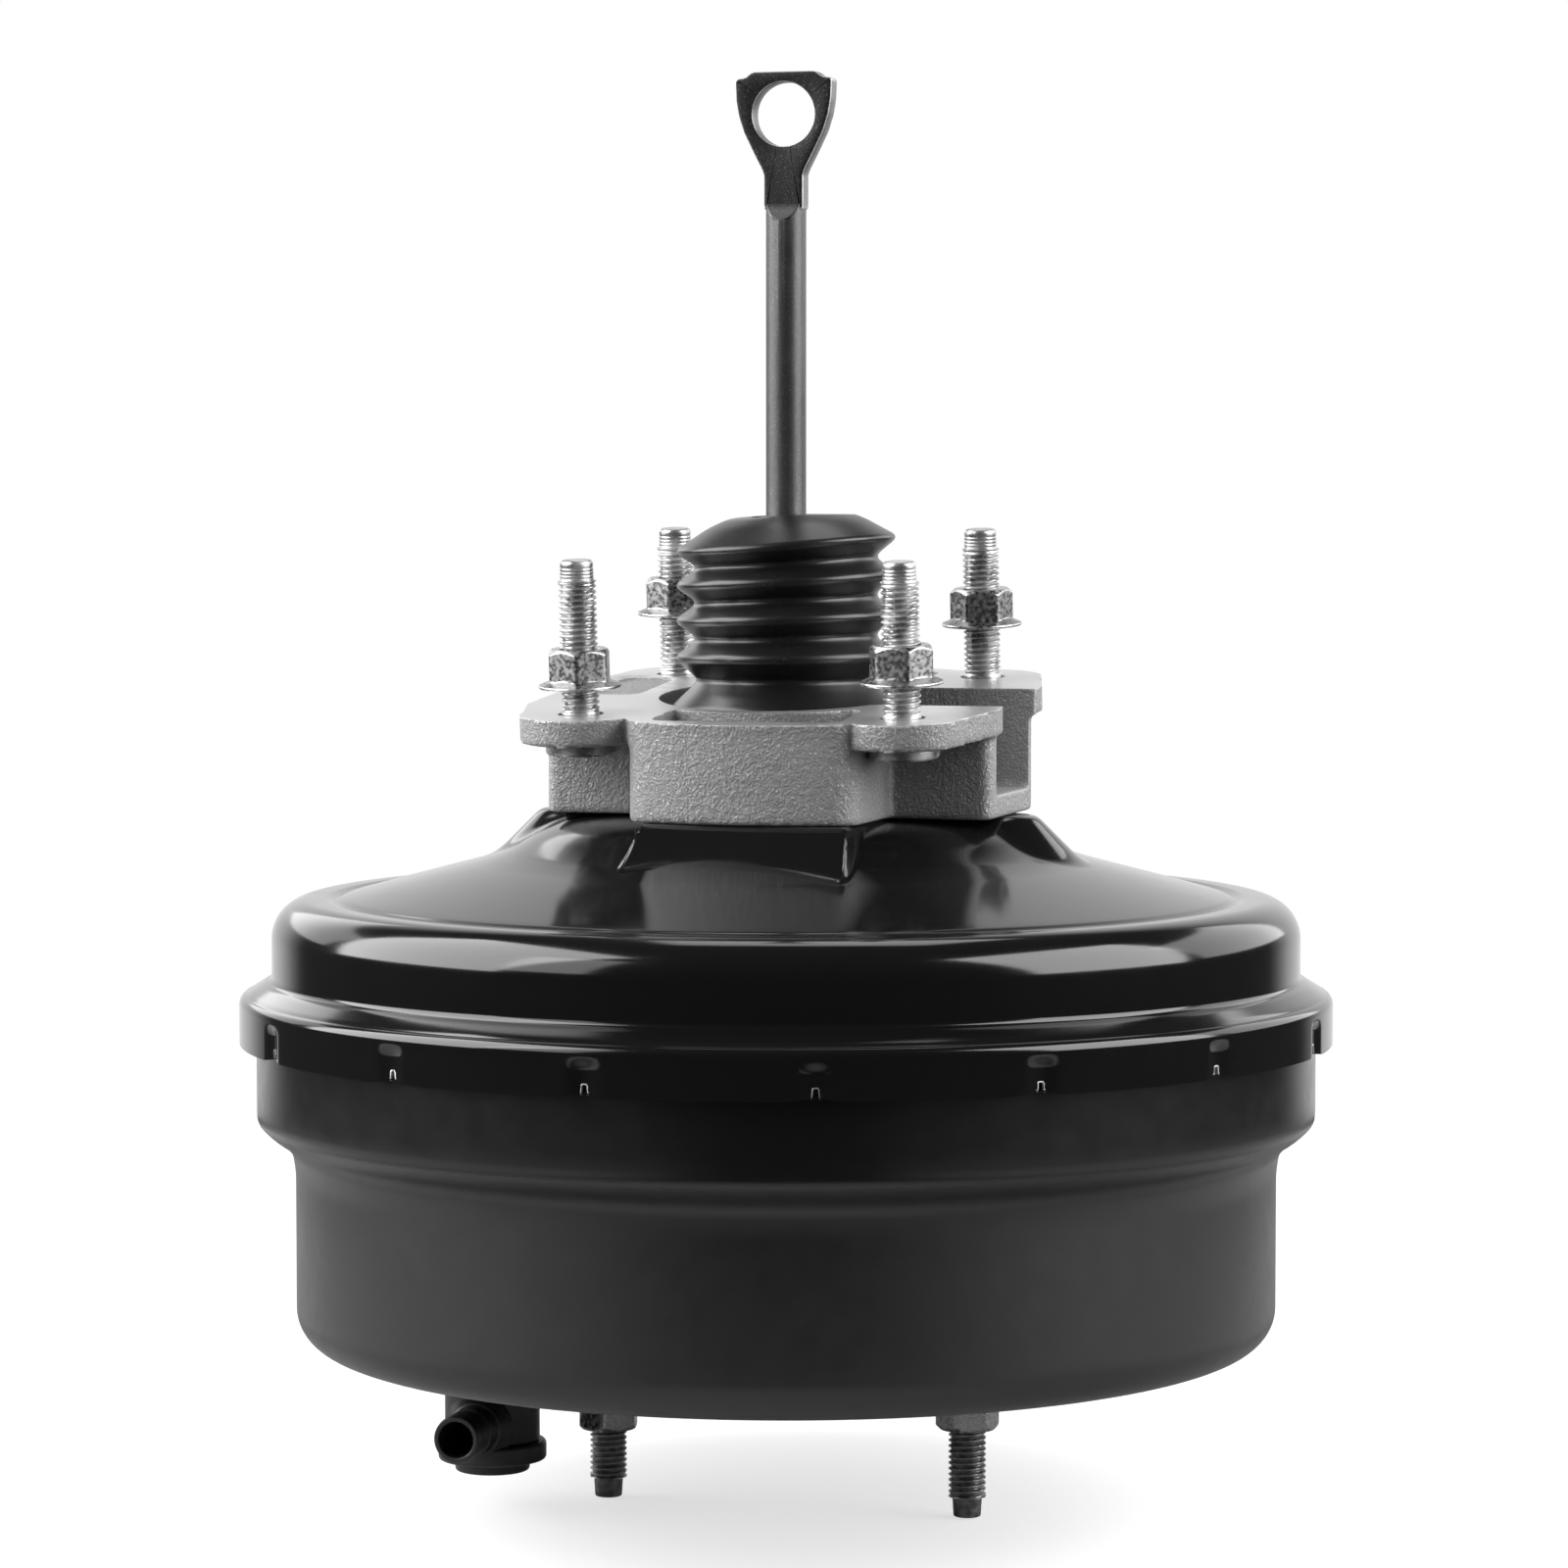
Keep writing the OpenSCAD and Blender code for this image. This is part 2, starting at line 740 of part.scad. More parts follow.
module input_rod() {
    color([0.45, 0.45, 0.44]) {
        difference() {
            union() {
                translate([0, eye_t / 2, 0])
                    rotate([90, 0, 0])
                        linear_extrude(height = eye_t)
                            eye_outline();
                translate([0, eye_t / 2, eye_z - 25])
                    rotate([90, 0, 0])
                        cylinder(h = eye_t, r = 5.75);
            }
            translate([0, 20, eye_z])
                rotate([90, 0, 0])
                    cylinder(h = 40, r = eye_r);
        }
        rotate_extrude()
            polygon([[0, ball_z + 2], [3.4, ball_z + 3], [3.4, 12], [rod_r, 15],
                [rod_r, 17.7], [13, 17.7], [13, 19.3], [rod_r, 19.3], [rod_r, eye_z - 23.4],
                [3.4, eye_z - 19.6], [0, eye_z - 19.6]]);
        translate([0, 0, ball_z])
            sphere(5.3);
    }
}

// Check valve

module valve_grommet() {
    color([0.05, 0.05, 0.05])
        translate([valve_x, valve_y, 0])
            rotate_extrude()
                polygon([[9, -165.6], [12.6, -165.6], [13.6, -167], [13.6, floor_z + sheet_t],
                    [11, floor_z + sheet_t], [11, floor_z], [14, floor_z], [14, -173.4],
                    [9, -173.4]]);
}

module valve_body() {
    translate([valve_x, valve_y, 0])
        color([0.06, 0.06, 0.065])
            difference() {
                union() {
                    rotate_extrude()
                        polygon([[0, -162], [7.6, -162], [9.6, -164.6], [8.7, -165.2],
                            [8.7, -173.6], [11.4, -174], [valve_r, -175.2],
                            [valve_r, -198], [0, -198]]);
                    translate([0, 0, hose_z])
                        rotate([90, 0, 0])
                            rotate_extrude()
                                polygon([[0, 0], [7.4, 0], [7.4, 14.2], [6.4, 14.9],
                                    [6.4, 19], [5.4, 19], [6.4, 20.6], [5.4, 22.6],
                                    [6.4, 24], [5.4, 26], [6.4, 27.2], [6, 29], [0, 29]]);
                }
                translate([0, 0, -178])
                    cylinder(h = 30, r = 5.4);
                translate([0, 0, -199])
                    cylinder(h = 21, r = 10.2);
                translate([0, 0, hose_z])
                    rotate([90, 0, 0])
                        cylinder(h = 40, r = 4.7);
            }
}

module valve_cap() {
    color([0.06, 0.06, 0.065])
        translate([valve_x, valve_y, 0])
            rotate_extrude()
                polygon([[0, -206.3], [9.6, -206.3], [9.9, -206], [9.9, -203.2],
                    [13.9, -203.2], [14.4, -202.6], [14.4, -198.6], [13.8, -198],
                    [10.2, -198], [10.2, -196], [8.6, -196], [8.6, -200], [0, -200]]);
}

module valve_disc() {
    color([0.08, 0.08, 0.08])
        translate([valve_x, valve_y, 0])
            rotate_extrude()
                polygon([[0, -178.1], [8.6, -178.1], [8.6, -179.9], [4, -180.3],
                    [3, -184], [0, -184]]);
}

module valve_spring() {
    color([0.5, 0.5, 0.48])
        translate([valve_x, valve_y, 0])
            coil(5.8, 0.4, -200, -180.2, 5);
}

front_shell();
rear_shell();
housing_divider();
divider_seal();
bearing_seal();
mounting_bracket();
firewall_studs();
flange_nuts();
bracket_studs();
bracket_nuts();
reinforcement_plate();
pad_studs();
pad_nuts();
front_seal();
valve_grommet();
boot();
power_piston();
rear_plate();
front_plate();
rear_diaphragm();
front_diaphragm();
rear_plate_clip();
front_plate_clip();
stop_key();
reaction_disc();
output_rod();
rod_retainer();
poppet_retainer();
air_filter();
air_silencer();
return_spring();
valve_plunger();
reaction_pin();
poppet();
poppet_spring();
input_rod();
rod_spring();
valve_body();
valve_cap();
valve_disc();
valve_spring();
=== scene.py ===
"""Dresses the tandem brake booster: pressed shells, cast spacer, studs, boot, rod and check valve."""

import logging
import math
from dataclasses import dataclass, field
from enum import Enum
from typing import Callable, Sequence

import bmesh
import bpy
import numpy as np
from mathutils import Matrix, Vector


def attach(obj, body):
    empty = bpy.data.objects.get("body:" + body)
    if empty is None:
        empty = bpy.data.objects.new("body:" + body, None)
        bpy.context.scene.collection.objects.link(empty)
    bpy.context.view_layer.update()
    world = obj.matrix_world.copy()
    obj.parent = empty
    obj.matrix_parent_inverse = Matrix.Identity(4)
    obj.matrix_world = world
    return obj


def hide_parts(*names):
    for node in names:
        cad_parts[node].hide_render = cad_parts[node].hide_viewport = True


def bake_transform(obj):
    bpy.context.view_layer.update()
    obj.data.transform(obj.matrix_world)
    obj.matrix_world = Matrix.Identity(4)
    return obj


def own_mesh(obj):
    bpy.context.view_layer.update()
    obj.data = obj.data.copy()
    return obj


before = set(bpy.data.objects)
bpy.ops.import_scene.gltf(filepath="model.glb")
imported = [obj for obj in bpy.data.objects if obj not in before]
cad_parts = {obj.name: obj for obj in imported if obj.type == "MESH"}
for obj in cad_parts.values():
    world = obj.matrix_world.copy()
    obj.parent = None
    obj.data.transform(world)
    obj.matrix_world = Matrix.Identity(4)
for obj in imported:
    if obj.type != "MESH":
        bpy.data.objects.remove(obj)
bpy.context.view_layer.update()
LOG = logging.getLogger("brake_booster")

MM = 0.001
Point = tuple[float, float]
Part = tuple[np.ndarray, list[tuple[int, ...]]]
Colour = tuple[float, float, float, float]
Socket = bpy.types.NodeSocket

# Shared sizes, the same as in the part's source, in metres

FACE_TILT = math.radians(4.95)
FACE_NORMAL = Vector((0.0, -math.sin(FACE_TILT), math.cos(FACE_TILT)))
BASE_Z = -30.7 * MM
HALF_PITCH = 42.85 * MM
STUD_SPOTS = ((-1, -1), (1, -1), (1, 1), (-1, 1))
NUT_LIFTS = (6.9 * MM, 8.7 * MM, 13.9 * MM, 16.4 * MM)
ANCHOR_SPOTS = ((-9, -46.5), (16, -46.5), (-9, 46.5), (16, 46.5))
LANCE_COUNT = 16
LANCE_START = math.radians(-3.7)
FACE_TOLERANCE = 0.05 * MM
UPWARDS = (0.0, 0.0, 1.0)
BACKWARDS = (0.0, 1.0, 0.0)


class Shading(Enum):
    """How a mesh is shaded: smooth all over, or with creases above an angle."""

    SMOOTH = 180.0
    SOFT = 50.0
    CREASED = 30.0


# Shader node helpers


def add_node(tree: bpy.types.NodeTree, kind: str, **inputs) -> bpy.types.Node:
    """Adds a node and sets its inputs.

    Args:
        tree: The node tree that gets the node.
        kind: Blender's name of the node type.
        inputs: Input values or output sockets to link; underscores in a name stand for spaces, a
            leading "i" and a number name an input by its place, and "set_" sets a node property.

    Returns:
        The new node.
    """
    node = tree.nodes.new(kind)
    for name, value in inputs.items():
        if name.startswith("set_"):
            setattr(node, name[4:], value)
            continue
        key = int(name[1:]) if name[0] == "i" and name[1:].isdigit() else name.replace("_", " ")
        socket = node.inputs[key]
        if isinstance(value, Socket):
            tree.links.new(value, socket)
        else:
            socket.default_value = value
    return node


def math_node(
    tree: bpy.types.NodeTree, operation: str, a: float | Socket, b: float | Socket = 0.0,
    c: float | Socket = 0.0,
) -> Socket:
    """Adds a Math node.

    Args:
        tree: The node tree.
        operation: Blender's name of the operation.
        a, b, c: Numbers or sockets.

    Returns:
        The node's output socket.
    """
    return add_node(tree, "ShaderNodeMath", set_operation=operation, i0=a, i1=b, i2=c).outputs[0]


def ramp_node(tree: bpy.types.NodeTree, value: Socket, low: float, high: float) -> Socket:
    """Adds a smooth step from 0 at low to 1 at high.

    Args:
        tree: The node tree.
        value: The socket to map.
        low: Value that gives 0.
        high: Value that gives 1.

    Returns:
        The mapped socket.
    """
    node = add_node(tree, "ShaderNodeMapRange", Value=value, set_interpolation_type="SMOOTHSTEP")
    node.inputs["From Min"].default_value = low
    node.inputs["From Max"].default_value = high
    return node.outputs["Result"]


def mix_colours(
    tree: bpy.types.NodeTree, factor: float | Socket, a: Colour | Socket, b: Colour | Socket,
) -> Socket:
    """Adds a colour Mix node.

    Args:
        tree: The node tree.
        factor: Share of b, a number or a socket.
        a, b: Colours or sockets.

    Returns:
        The mixed colour.
    """
    node = tree.nodes.new("ShaderNodeMix")
    node.data_type = "RGBA"
    for index, value in ((0, factor), (6, a), (7, b)):
        if isinstance(value, Socket):
            tree.links.new(value, node.inputs[index])
        else:
            node.inputs[index].default_value = value
    return node.outputs[2]


def object_place(tree: bpy.types.NodeTree) -> Socket:
    """Gives the place in the object's own frame, in metres.

    Args:
        tree: The tree that gets the node.

    Returns:
        A vector socket.
    """
    return add_node(tree, "ShaderNodeTexCoord").outputs["Object"]


def along_node(tree: bpy.types.NodeTree, vector: Socket, direction: Sequence[float]) -> Socket:
    """Measures a vector socket along a direction.

    Args:
        tree: The tree that gets the node.
        vector: The vector's socket.
        direction: The direction, of length 1.

    Returns:
        A socket with the dot product.
    """
    node = add_node(tree, "ShaderNodeVectorMath", set_operation="DOT_PRODUCT", i0=vector, i1=tuple(direction))
    return node.outputs["Value"]


def grey(level: float, tint: float = 0.0) -> Colour:
    """Grey colour, with a little blue for a positive tint.

    Args:
        level: Share of white.
        tint: Share of blue over red.

    Returns:
        The colour with full alpha.
    """
    return (level * (1 - tint), level, level * (1 + tint), 1.0)


@dataclass(frozen=True)
class EffectGroup:
    """A shared shader effect, kept as a node group with named inputs and outputs."""

    name: str
    inputs: tuple[tuple[str, float], ...]
    outputs: tuple[str, ...]
    draw: Callable[[bpy.types.NodeTree, dict], dict]

    def tree(self) -> bpy.types.NodeTree:
        """Builds the group once.

        Returns:
            The group's node tree.
        """
        made = bpy.data.node_groups.get(self.name)
        if made is not None:
            return made
        made = bpy.data.node_groups.new(self.name, "ShaderNodeTree")
        for name, value in self.inputs:
            socket = made.interface.new_socket(name, in_out="INPUT", socket_type="NodeSocketFloat")
            socket.default_value = value
        for name in self.outputs:
            made.interface.new_socket(name, in_out="OUTPUT", socket_type="NodeSocketFloat")
        source = made.nodes.new("NodeGroupInput")
        sink = made.nodes.new("NodeGroupOutput")
        values = {name: source.outputs[name] for name, _ in self.inputs}
        for name, socket in self.draw(made, values).items():
            made.links.new(socket, sink.inputs[name])
        return made

    def place(self, tree: bpy.types.NodeTree, **values: float) -> dict[str, Socket]:
        """Places the group in a material.

        Args:
            tree: The material's node tree.
            values: Values of the group's inputs, with underscores for spaces.

        Returns:
            The group's outputs by name.
        """
        node = tree.nodes.new("ShaderNodeGroup")
        node.node_tree = self.tree()
        for name, value in values.items():
            node.inputs[name.replace("_", " ")].default_value = value
        return {name: node.outputs[name] for name in self.outputs}


def draw_grain(tree: bpy.types.NodeTree, values: dict) -> dict:
    """Fine grain of two sizes with bright grains picked out.

    Args:
        tree: The group's tree.
        values: The group's input sockets.

    Returns:
        The group's output sockets.
    """
    place = object_place(tree)
    fine = add_node(tree, "ShaderNodeTexNoise", Vector=place, Scale=values["Scale"], Detail=2.0)
    half = math_node(tree, "MULTIPLY", values["Scale"], 0.37)
    coarse = add_node(tree, "ShaderNodeTexNoise", Vector=place, Scale=half, Detail=3.0)
    height = math_node(tree, "ADD", fine.outputs[0], coarse.outputs[0])
    spark = math_node(tree, "SUBTRACT", fine.outputs[0], values["Spark Level"])
    return {"Height": height, "Spark": math_node(tree, "MULTIPLY", spark, 12.0), "Patch": coarse.outputs[0]}


def draw_streaks(tree: bpy.types.NodeTree, values: dict) -> dict:
    """Grain drawn out along the circumference, as rolling and spinning leave it.

    Args:
        tree: The group's tree.
        values: The group's input sockets.

    Returns:
        The group's output sockets.
    """
    place = object_place(tree)
    parts = add_node(tree, "ShaderNodeSeparateXYZ", Vector=place)
    around = math_node(tree, "ARCTAN2", parts.outputs["Y"], parts.outputs["X"])
    along = add_node(
        tree, "ShaderNodeCombineXYZ", X=math_node(tree, "MULTIPLY", around, values["Around"]),
        Y=math_node(tree, "MULTIPLY", parts.outputs["Z"], values["Along"]),
    )
    noise = add_node(tree, "ShaderNodeTexNoise", Vector=along.outputs[0], Scale=1.0, Detail=3.0)
    return {"Height": noise.outputs[0]}


def draw_specks(tree: bpy.types.NodeTree, values: dict) -> dict:
    """Sparse dust specks.

    Args:
        tree: The group's tree.
        values: The group's input sockets.

    Returns:
        The group's output sockets.
    """
    place = object_place(tree)
    cells = add_node(tree, "ShaderNodeTexVoronoi", Vector=place, Scale=values["Scale"])
    near = math_node(tree, "LESS_THAN", cells.outputs["Distance"], values["Size"])
    rare = math_node(tree, "LESS_THAN", cells.outputs["Color"], values["Share"])
    return {"Mask": math_node(tree, "MULTIPLY", near, rare)}


def draw_wear(tree: bpy.types.NodeTree, values: dict) -> dict:
    """Wear along convex edges, broken up by noise.

    Args:
        tree: The group's tree.
        values: The group's input sockets.

    Returns:
        The group's output sockets.
    """
    place = object_place(tree)
    sharp = add_node(tree, "ShaderNodeNewGeometry").outputs["Pointiness"]
    noise = add_node(tree, "ShaderNodeTexNoise", Vector=place, Scale=values["Scale"], Detail=2.0)
    edge = math_node(tree, "SUBTRACT", sharp, values["Edge"])
    edge = math_node(tree, "MULTIPLY", edge, values["Gain"])
    broken = math_node(tree, "MULTIPLY", edge, noise.outputs[0])
    clamped = add_node(tree, "ShaderNodeClamp", Value=broken).outputs[0]
    return {"Mask": clamped}


GRAIN = EffectGroup(
    "grain", (("Scale", 1000.0), ("Spark Level", 0.62)), ("Height", "Spark", "Patch"), draw_grain,
)
STREAKS = EffectGroup("streaks", (("Around", 40.0), ("Along", 900.0)), ("Height",), draw_streaks)
SPECKS = EffectGroup(
    "dust specks", (("Scale", 200.0), ("Size", 0.05), ("Share", 0.1)), ("Mask",), draw_specks,
)
WEAR = EffectGroup("edge wear", (("Edge", 0.52), ("Gain", 20.0), ("Scale", 900.0)), ("Mask",), draw_wear)


# Finishes


@dataclass(frozen=True)
class Finish:
    """A surface finish that builds its material once."""

    name: str
    base: float
    roughness: float
    metallic: float = 0.0
    tint: float = 0.0
    bump: float = 0.1
    grain_scale: float = 1500.0

    def material(self) -> bpy.types.Material:
        """Gives the finish's material, building it at first use.

        Returns:
            The material.
        """
        made = bpy.data.materials.get(self.name)
        if made is None:
            made = bpy.data.materials.new(self.name)
            made.use_nodes = True
            shader = made.node_tree.nodes["Principled BSDF"]
            shader.inputs["Base Color"].default_value = grey(self.base, self.tint)
            shader.inputs["Roughness"].default_value = self.roughness
            shader.inputs["Metallic"].default_value = self.metallic
            made.diffuse_color = grey(self.base, self.tint)
            self.detail(made.node_tree, shader)
        return made

    def link(self, tree: bpy.types.NodeTree, shader: bpy.types.Node, name: str, socket: Socket) -> None:
        """Links a socket to one of the shader's inputs.

        Args:
            tree: The material's tree.
            shader: The Principled shader.
            name: The input's name.
            socket: The socket to link.
        """
        tree.links.new(socket, shader.inputs[name])

    def add_bump(
        self, tree: bpy.types.NodeTree, shader: bpy.types.Node, height: Socket, depth: float,
    ) -> None:
        """Bumps the surface.

        Args:
            tree: The material's tree.
            shader: The Principled shader.
            height: Socket with the height.
            depth: Depth in metres of the height's full range.
        """
        bump = add_node(tree, "ShaderNodeBump", Height=height, Strength=self.bump, Distance=depth)
        self.link(tree, shader, "Normal", bump.outputs[0])

    def shades(self, tree: bpy.types.NodeTree, factor: Socket, low: float, high: float) -> Socket:
        """Base colour that runs from low to high times the finish's own grey.

        Args:
            tree: The material's tree.
            factor: Socket that runs from 0 to 1.
            low: Share of the grey at 0.
            high: Share of the grey at 1.

        Returns:
            The colour.
        """
        return mix_colours(tree, factor, grey(self.base * low, self.tint), grey(self.base * high, self.tint))

    def spread(self, tree: bpy.types.NodeTree, factor: Socket, low: float, high: float) -> Socket:
        """Roughness that runs from low to high over a factor.

        Args:
            tree: The material's tree.
            factor: Socket that runs from 0 to 1.
            low: Roughness at 0.
            high: Roughness at 1.

        Returns:
            The roughness.
        """
        span = math_node(tree, "MULTIPLY", factor, high - low)
        return math_node(tree, "ADD", span, low)

    def detail(self, tree: bpy.types.NodeTree, shader: bpy.types.Node) -> None:
        """Plain fine grain in colour, roughness and height.

        Args:
            tree: The material's tree.
            shader: The Principled shader.
        """
        grain = GRAIN.place(tree, Scale=self.grain_scale)
        self.link(tree, shader, "Base Color", self.shades(tree, grain["Patch"], 0.75, 1.25))
        rough = self.spread(tree, grain["Patch"], self.roughness - 0.06, self.roughness + 0.06)
        self.link(tree, shader, "Roughness", rough)
        self.add_bump(tree, shader, grain["Height"], 0.2 * MM)


@dataclass(frozen=True)
class GlossEnamel(Finish):
    """Glossy black enamel with faint orange peel and dust."""

    def detail(self, tree: bpy.types.NodeTree, shader: bpy.types.Node) -> None:
        """Orange peel, dust specks and a slight haze."""
        peel = GRAIN.place(tree, Scale=260.0)
        dust = SPECKS.place(tree, Scale=330.0, Size=0.045, Share=0.035)
        fine = SPECKS.place(tree, Scale=800.0, Size=0.10, Share=0.012)
        mask = math_node(tree, "MAXIMUM", dust["Mask"], fine["Mask"])
        self.link(tree, shader, "Base Color", mix_colours(tree, mask, grey(self.base), grey(0.3)))
        haze = self.spread(tree, peel["Patch"], self.roughness - 0.03, self.roughness + 0.04)
        rough = math_node(tree, "ADD", haze, math_node(tree, "MULTIPLY", mask, 0.4))
        self.link(tree, shader, "Roughness", rough)
        self.add_bump(tree, shader, peel["Height"], 0.05 * MM)


@dataclass(frozen=True)
class SatinCoat(Finish):
    """Satin black coating over spun sheet, with fine ripples around and a few draw marks."""

    mark_angles: tuple[float, ...] = ()
    mark_low: float = 0.0
    mark_high: float = 0.0
    gloss_above: float = 1.0

    def marks(self, tree: bpy.types.NodeTree) -> Socket:
        """Thin dark lines up the wall at the given angles.

        Args:
            tree: The material's tree.

        Returns:
            A mask socket.
        """
        place = object_place(tree)
        parts = add_node(tree, "ShaderNodeSeparateXYZ", Vector=place)
        around = math_node(tree, "ARCTAN2", parts.outputs["Y"], parts.outputs["X"])
        wander = add_node(tree, "ShaderNodeTexNoise", Vector=place, Scale=300.0, Detail=2.0).outputs[0]
        total = None
        for angle in self.mark_angles:
            off = math_node(tree, "ABSOLUTE", math_node(tree, "SUBTRACT", around, angle))
            thin = math_node(tree, "LESS_THAN", off, math_node(tree, "MULTIPLY", wander, 0.0022))
            total = thin if total is None else math_node(tree, "MAXIMUM", total, thin)
        above = math_node(tree, "GREATER_THAN", parts.outputs["Z"], self.mark_low)
        below = math_node(tree, "LESS_THAN", parts.outputs["Z"], self.mark_high)
        return math_node(tree, "MULTIPLY", total, math_node(tree, "MULTIPLY", above, below))

    def band(self, tree: bpy.types.NodeTree) -> Socket:
        """Mask of the glossier band above the bevel, by height.

        Args:
            tree: The material's tree.

        Returns:
            A mask socket.
        """
        place = object_place(tree)
        height = along_node(tree, place, UPWARDS)
        return ramp_node(tree, height, self.gloss_above - 2 * MM, self.gloss_above + 2 * MM)

    def detail(self, tree: bpy.types.NodeTree, shader: bpy.types.Node) -> None:
        """Ripples, patches, specks and draw marks."""
        grain = GRAIN.place(tree, Scale=420.0)
        ripple = STREAKS.place(tree, Around=90.0, Along=1500.0)
        specks = SPECKS.place(tree, Scale=260.0, Size=0.035, Share=0.03)
        colour = self.shades(tree, grain["Patch"], 0.8, 1.2)
        colour = mix_colours(tree, specks["Mask"], colour, grey(0.25))
        if self.mark_angles:
            colour = mix_colours(tree, self.marks(tree), colour, grey(0.001))
        gloss = self.band(tree)
        self.link(tree, shader, "Base Color", mix_colours(tree, gloss, colour, grey(self.base * 0.35)))
        dull = self.spread(tree, grain["Patch"], self.roughness - 0.05, self.roughness + 0.05)
        rough = math_node(tree, "SUBTRACT", dull, math_node(tree, "MULTIPLY", gloss, 0.12))
        self.link(tree, shader, "Roughness", rough)
        height = math_node(tree, "ADD", math_node(tree, "MULTIPLY", ripple["Height"], 0.6), grain["Height"])
        self.add_bump(tree, shader, height, 0.06 * MM)


@dataclass(frozen=True)
class CastAluminium(Finish):
    """Sand-cast aluminium with a machined face."""

    face_base: float = 0.62
    face_roughness: float = 0.34

    def machined(self, tree: bpy.types.NodeTree) -> Socket:
        """Mask of the machined firewall face, by height above it and direction.

        Args:
            tree: The material's tree.

        Returns:
            A mask socket.
        """
        place = object_place(tree)
        geometry = add_node(tree, "ShaderNodeNewGeometry")
        height = along_node(tree, place, FACE_NORMAL)
        facing = along_node(tree, geometry.outputs["True Normal"], FACE_NORMAL)
        high = math_node(tree, "GREATER_THAN", height, -0.15 * MM)
        flat = math_node(tree, "GREATER_THAN", facing, 0.98)
        return math_node(tree, "MULTIPLY", high, flat)

    def detail(self, tree: bpy.types.NodeTree, shader: bpy.types.Node) -> None:
        """Sand grain with painted glints for its sparkle, worn edges and the machined face."""
        face = self.machined(tree)
        rough = math_node(tree, "SUBTRACT", 1.0, face)
        grain = GRAIN.place(tree, Scale=1500.0, Spark_Level=0.63)
        cloud = GRAIN.place(tree, Scale=90.0)
        wear = WEAR.place(tree, Edge=0.525, Gain=26.0, Scale=1400.0)
        spark = add_node(tree, "ShaderNodeClamp", Value=grain["Spark"]).outputs[0]
        colour = self.shades(tree, cloud["Patch"], 0.8, 1.15)
        colour = mix_colours(tree, grain["Patch"], colour, self.shades(tree, cloud["Patch"], 1.0, 1.45))
        # Painted glints: bright grains get a near-white base colour; their lower roughness is real.
        colour = mix_colours(tree, math_node(tree, "MULTIPLY", spark, 0.6), colour, grey(0.8))
        colour = mix_colours(tree, math_node(tree, "MULTIPLY", wear["Mask"], 0.7), colour, grey(0.85))
        face_tone = mix_colours(
            tree, cloud["Patch"], grey(self.face_base * 0.85), grey(self.face_base * 1.15),
        )
        self.link(tree, shader, "Base Color", mix_colours(tree, face, colour, face_tone))
        metal = math_node(tree, "MULTIPLY", rough, self.metallic)
        metal = math_node(tree, "ADD", metal, math_node(tree, "MULTIPLY", face, 0.85))
        self.link(tree, shader, "Metallic", metal)
        sandy = self.spread(tree, spark, self.roughness, self.roughness - 0.25)
        clean = self.spread(tree, cloud["Patch"], self.face_roughness - 0.1, self.face_roughness + 0.1)
        sandy = math_node(tree, "MULTIPLY", rough, sandy)
        clean = math_node(tree, "MULTIPLY", face, clean)
        self.link(tree, shader, "Roughness", math_node(tree, "ADD", sandy, clean))
        share = math_node(tree, "ADD", math_node(tree, "MULTIPLY", rough, 0.96), 0.04)
        self.add_bump(tree, shader, math_node(tree, "MULTIPLY", grain["Height"], share), 0.35 * MM)


@dataclass(frozen=True)
class ZincPlate(Finish):
    """Bright zinc plating with a mottled, hammered look and light edges."""

    mottle: float = 900.0

    def detail(self, tree: bpy.types.NodeTree, shader: bpy.types.Node) -> None:
        """Mottled plating and bright edges."""
        patch = GRAIN.place(tree, Scale=self.mottle)
        fine = GRAIN.place(tree, Scale=self.mottle * 2.7)
        wear = WEAR.place(tree, Edge=0.53, Gain=18.0, Scale=700.0)
        dark = ramp_node(tree, patch["Patch"], 0.38, 0.62)
        colour = self.shades(tree, dark, 0.7, 1.15)
        colour = mix_colours(tree, wear["Mask"], colour, grey(0.97))
        self.link(tree, shader, "Base Color", colour)
        rough = self.spread(tree, dark, self.roughness - 0.08, self.roughness + 0.1)
        self.link(tree, shader, "Roughness", rough)
        height = math_node(tree, "ADD", patch["Height"], math_node(tree, "MULTIPLY", fine["Height"], 0.4))
        self.add_bump(tree, shader, height, 0.25 * MM)


@dataclass(frozen=True)
class BootRubber(Finish):
    """Black rubber with mould bloom and handling scuffs."""

    def detail(self, tree: bpy.types.NodeTree, shader: bpy.types.Node) -> None:
        """Cloudy scuffs and fine pits."""
        cloud = GRAIN.place(tree, Scale=140.0)
        pits = GRAIN.place(tree, Scale=1700.0, Spark_Level=0.66)
        scuff = ramp_node(tree, cloud["Patch"], 0.5, 0.72)
        spark = add_node(tree, "ShaderNodeClamp", Value=pits["Spark"]).outputs[0]
        scuff = math_node(tree, "MULTIPLY", scuff, spark)
        scuff = math_node(tree, "MULTIPLY", scuff, 0.5)
        self.link(tree, shader, "Base Color", mix_colours(tree, scuff, grey(self.base), grey(0.22)))
        rough = self.spread(tree, cloud["Patch"], self.roughness - 0.08, self.roughness + 0.1)
        self.link(tree, shader, "Roughness", rough)
        self.add_bump(tree, shader, pits["Height"], 0.08 * MM)


